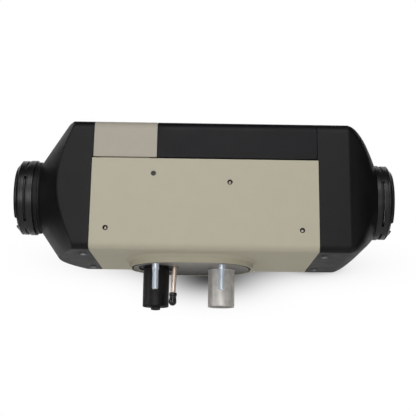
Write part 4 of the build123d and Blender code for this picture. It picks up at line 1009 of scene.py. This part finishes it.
# ---- sub-assemblies -------------------------------------------------------------------
@dataclass
class MountingStuds:
    """Four M6 studs in the flange: plain shoulder, rolled thread, chamfered end."""

    pitch_x: float = 63.0 * MM
    pitch_y: float = 70.0 * MM
    drop: float = 24.0 * MM
    seat: float = 5.0 * MM
    shoulder: float = 3.35 * MM
    shoulder_end: float = -5.4 * MM
    shoulder_step: float = 0.4 * MM
    radius: float = 3.0 * MM
    thread_pitch: float = 1.0 * MM
    thread_depth: float = 0.42 * MM
    thread_top: float = -6.0 * MM
    flank: float = 1.5
    root: float = 0.25
    chamfer: float = 0.7 * MM
    thread_rows: int = 170
    shoulder_rows: int = 5
    columns: int = 40

    def build(self) -> None:
        """Builds the four studs as one piece each and hides the plain ones."""
        corners = [(x, y) for x in (-0.5, 0.5) for y in (-0.5, 0.5)]
        for number, (x, y) in enumerate(corners, start=1):
            foot = np.array([x * self.pitch_x, y * self.pitch_y, 0.0])
            piece = surface(f"stud_{number}", self.points() + foot)
            finish_piece(piece, ZINC_STEEL)
            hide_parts("mounting_studs")

    def points(self) -> np.ndarray:
        """Returns one stud's surface.

        At height z and angle t the radius is R - d w(z) s(z / p - t / 2 pi). Here w
        fades the thread in below the shoulder, and s(u) is flank (1 - |2 u - 1|) less
        root, held between 0 and 1, for u from 0 to 1. The radius shrinks in a straight
        chamfer at the end, and above the thread it steps out to the shoulder.

        Returns:
            Points of shape (rows, columns, 3), in metres.
        """
        low, step = -self.drop, self.shoulder_end
        thread = np.linspace(low, step + self.thread_pitch, self.thread_rows)
        plain = np.linspace(step + 1.5 * self.thread_pitch, self.seat, self.shoulder_rows)
        t = np.arange(self.columns) * TAU / self.columns
        z, t = np.meshgrid(np.concatenate([thread, plain]), t, indexing="ij")
        phase = (z / self.thread_pitch - t / TAU) % 1.0
        wave = np.clip(self.flank * (1.0 - np.abs(2.0 * phase - 1.0)) - self.root, 0.0, 1.0)
        fade = np.clip((self.thread_top - z) / self.thread_pitch + 1.0, 0.0, 1.0)
        crest = self.radius - self.chamfer * np.clip(1.0 - (z - low) / self.chamfer, 0.0, 1.0)
        r = np.minimum(crest, self.radius - self.thread_depth * fade * wave)
        wide = np.clip((z - step) / self.shoulder_step, 0.0, 1.0)
        r = r + (self.shoulder - self.radius) * wide
        return np.stack([r * np.cos(t), r * np.sin(t), z], axis=-1)


@dataclass
class FuelCap:
    """Moulded rubber cap on the fuel line: a collar, a waist and a round bulb.

    The outline's pairs are a share of the way from top to end, and a radius in mm.
    """

    foot: Triple = (-13.9 * MM, -14.0 * MM, 0.0)
    lean: float = math.radians(2.3)
    bore: float = 2.4 * MM
    top: float = 25.0 * MM
    end: float = 37.7 * MM
    bore_end: float = 34.6 * MM
    outline: tuple[tuple[float, float], ...] = (
        (0.0, 3.3), (0.03, 3.7), (0.22, 3.75), (0.27, 3.35), (0.36, 3.25),
        (0.62, 3.75), (0.80, 3.6), (0.92, 2.6), (0.98, 1.3), (1.0, 0.02),
    )
    rows: int = 70
    columns: int = 48
    reach: int = 2
    tip_rows: int = 3

    def build(self) -> None:
        """Builds the cap in place of the plain one."""
        axis = Vector((-math.sin(self.lean), 0.0, -math.cos(self.lean)))
        points = turned(self.profile(), Vector(self.foot), axis, self.columns)
        piece = surface("fuel_cap", points)
        finish_piece(piece, GLOSS_RUBBER)
        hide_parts("fuel_pipe_cap")

    def profile(self) -> np.ndarray:
        """Returns (distance along the line, radius) from the bore's end round to the tip.

        The outside is the outline, joined and smoothed by the mean of each row and
        reach rows on either side, but for the tip's rows.
        """
        share = np.linspace(0.0, 1.0, self.rows)
        stations, radii = np.transpose(self.outline)
        outer = np.interp(share, stations, radii * MM)
        width = 2 * self.reach + 1
        padded = np.pad(outer, self.reach, mode="edge")
        smooth = np.convolve(padded, np.ones(width) / width, mode="valid")
        smooth[-self.tip_rows:] = outer[-self.tip_rows:]
        along = self.top + share * (self.end - self.top)
        inside = [(self.bore_end, POLE), (self.bore_end, self.bore), (self.top, self.bore)]
        return np.vstack([inside, np.stack([along, smooth], axis=-1)])


@dataclass
class IntakePlug:
    """Rubber plug in the combustion-air pipe, with a lobed grip below it."""

    centre: float = -32.3 * MM
    radius: float = 10.3 * MM
    top: float = -32.6 * MM
    face: float = -37.3 * MM
    edge: float = 0.5 * MM
    columns: int = 64
    grip_half: Triple = (4.6 * MM, 2.3 * MM, 2.0 * MM)
    grip_middle: float = -38.95 * MM
    grip_rows: int = 28
    grip_columns: int = 48
    grip_end: float = 0.499 * math.pi
    lobe: float = 0.16
    lobe_drop: float = 0.04
    squareness: float = 0.45

    def build(self) -> None:
        """Builds the plug's body and its grip."""
        axis = Vector((0, 0, 1))
        body = turned(self.profile(), Vector((self.centre, 0, 0)), axis, self.columns)
        for name, points in (("body", body), ("grip", self.grip_points())):
            piece = surface(f"intake_plug_{name}", points)
            finish_piece(piece, MATT_RUBBER)
            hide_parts("intake_plug")

    def profile(self) -> np.ndarray:
        """Returns the body's (height, radius) pairs, with both edges chamfered."""
        inner = self.radius - self.edge
        upper = [(self.top, POLE), (self.top, inner), (self.top - self.edge, self.radius)]
        lower = [(self.face + self.edge, self.radius), (self.face, inner), (self.face, POLE)]
        return np.array(upper + lower)

    def grip_points(self) -> np.ndarray:
        """Returns the grip: a squared ellipsoid whose depth swells in three lobes.

        With c and s as powered cosine and sine, x = a c(u) c(v),
        y = b c(u) s(v) (1 + lobe w) and z = h s(u) (1 - lobe_drop (1 - w)), where
        w = cos(3 pi x / 2a).
        """
        a, b, h = self.grip_half
        u = np.linspace(-self.grip_end, self.grip_end, self.grip_rows)
        v = np.arange(self.grip_columns) * TAU / self.grip_columns
        u, v = np.meshgrid(u, v, indexing="ij")

        def powered(wave: np.ndarray) -> np.ndarray:
            """Returns the wave raised to the squareness, with its sign kept."""
            return np.sign(wave) * np.abs(wave) ** self.squareness

        x = powered(np.cos(u)) * powered(np.cos(v))
        lobes = np.cos(1.5 * math.pi * x)
        y = powered(np.cos(u)) * powered(np.sin(v)) * (1.0 + self.lobe * lobes)
        z = powered(np.sin(u)) * (1.0 - self.lobe_drop * (1.0 - lobes))
        return np.stack([self.centre + a * x, b * y, self.grip_middle + h * z], axis=-1)


@dataclass
class SideScrews:
    """Recessed screws of both sides: a dark cup lining the recess, a painted shade for its depth,
    and a dished button in it.

    The places are the x and z of each side's recesses, in mm.
    """

    places: tuple[tuple[float, float], ...] = ((-77.2, 28.0), (105.2, 28.0), (37.8, 73.4))
    half_width: float = 71.5 * MM
    floor: float = 8.0 * MM
    lean: float = math.radians(3.1)
    recess: float = 2.5 * MM
    recess_depth: float = 3.2 * MM
    clear: float = 0.04 * MM
    cup_wall: float = 0.25 * MM
    cup_lip: float = -0.25 * MM
    cup_columns: int = 40
    button: float = 1.25 * MM
    button_rise: float = 1.3 * MM
    button_round: float = 0.4 * MM
    button_columns: int = 32
    round_rows: int = 7
    dish: float = 0.55 * MM
    dish_floor: float = 0.45 * MM
    dish_depth: float = 0.45 * MM

    def build(self) -> None:
        """Builds a cup and a button in each of the six recesses."""
        for side, label in ((-1.0, "front"), (1.0, "back")):
            out = Vector((0.0, side * math.cos(self.lean), math.sin(self.lean)))
            for number, (x, z) in enumerate(self.places):
                reach = self.half_width - (z * MM - self.floor) * math.tan(self.lean)
                mouth = Vector((x * MM, side * reach, z * MM))
                for name, profile, columns, finish in (
                    ("cup", self.cup_profile(), self.cup_columns, RECESS_SHADE_CUP),
                    ("button", self.button_profile(), self.button_columns, DULL_SCREW),
                ):
                    points = turned(profile, mouth, out, columns)
                    piece = surface(f"screw_{name}_{label}_{number}", points)
                    finish_piece(piece, finish)
                    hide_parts("side_screws")

    def cup_profile(self) -> np.ndarray:
        """Returns the cup's outline: outside, lip, inner wall, chamfer and floor."""
        wall, wide, deep = self.cup_wall, self.recess - self.clear, self.recess_depth - self.clear
        inner, floor = wide - wall, wall - deep
        outside = [(-deep, POLE), (-deep, wide), (self.cup_lip, wide), (self.cup_lip, inner)]
        chamfer = [(floor + wall, inner - wall), (floor, inner - 2 * wall)]
        return np.array([*outside, *chamfer, (floor, POLE)])

    def button_profile(self) -> np.ndarray:
        """Returns the button: a quarter-round edge and a shallow dish in its top."""
        foot = -self.recess_depth + self.clear + self.cup_wall
        top = foot + self.button_rise
        turn = np.linspace(0.0, 0.5 * math.pi, self.round_rows)
        rise = top - self.button_round + self.button_round * np.sin(turn)
        reach = self.button - self.button_round + self.button_round * np.cos(turn)
        bottom = top - self.dish_depth
        dish = [(top, self.dish), (bottom, self.dish_floor), (bottom, POLE)]
        edge = np.stack([rise, reach], axis=-1)
        return np.vstack([[(foot, POLE), (foot, self.button)], edge, dish])


@dataclass
class DuctLiner:
    """Sleeve inside the inlet collar, which carries the duct on behind the windows."""

    near: float = -166.6 * MM
    far: float = -158.4 * MM
    outer: float = 34.4 * MM
    wall: float = 1.6 * MM
    columns: int = 96

    def build(self) -> None:
        """Builds the sleeve."""
        inner = self.outer - self.wall
        start = (self.near, self.outer)
        profile = np.array(
            [start, (self.far, self.outer), (self.far, inner), (self.near, inner), start]
        )
        axis = Vector((1, 0, 0))
        points = turned(profile, Vector((0.0, 0.0, DUCT_AXIS)), axis, self.columns)
        piece = surface("inlet_duct_liner", points, caps=False)
        finish_piece(piece, BLACK_COLLAR)


def main() -> None:
    """Dresses the nodes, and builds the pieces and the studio."""
    logging.basicConfig(level=logging.INFO, format="%(name)s %(message)s")
    bpy.context.scene.view_settings.view_transform = "Standard"
    Studio().build()
    for name, finish in NODE_FINISHES.items():
        dress_node(name, finish)
    for assembly in (MountingStuds(), FuelCap(), IntakePlug(), SideScrews(), DuctLiner()):
        assembly.build()


if __name__ == "__main__":
    main()
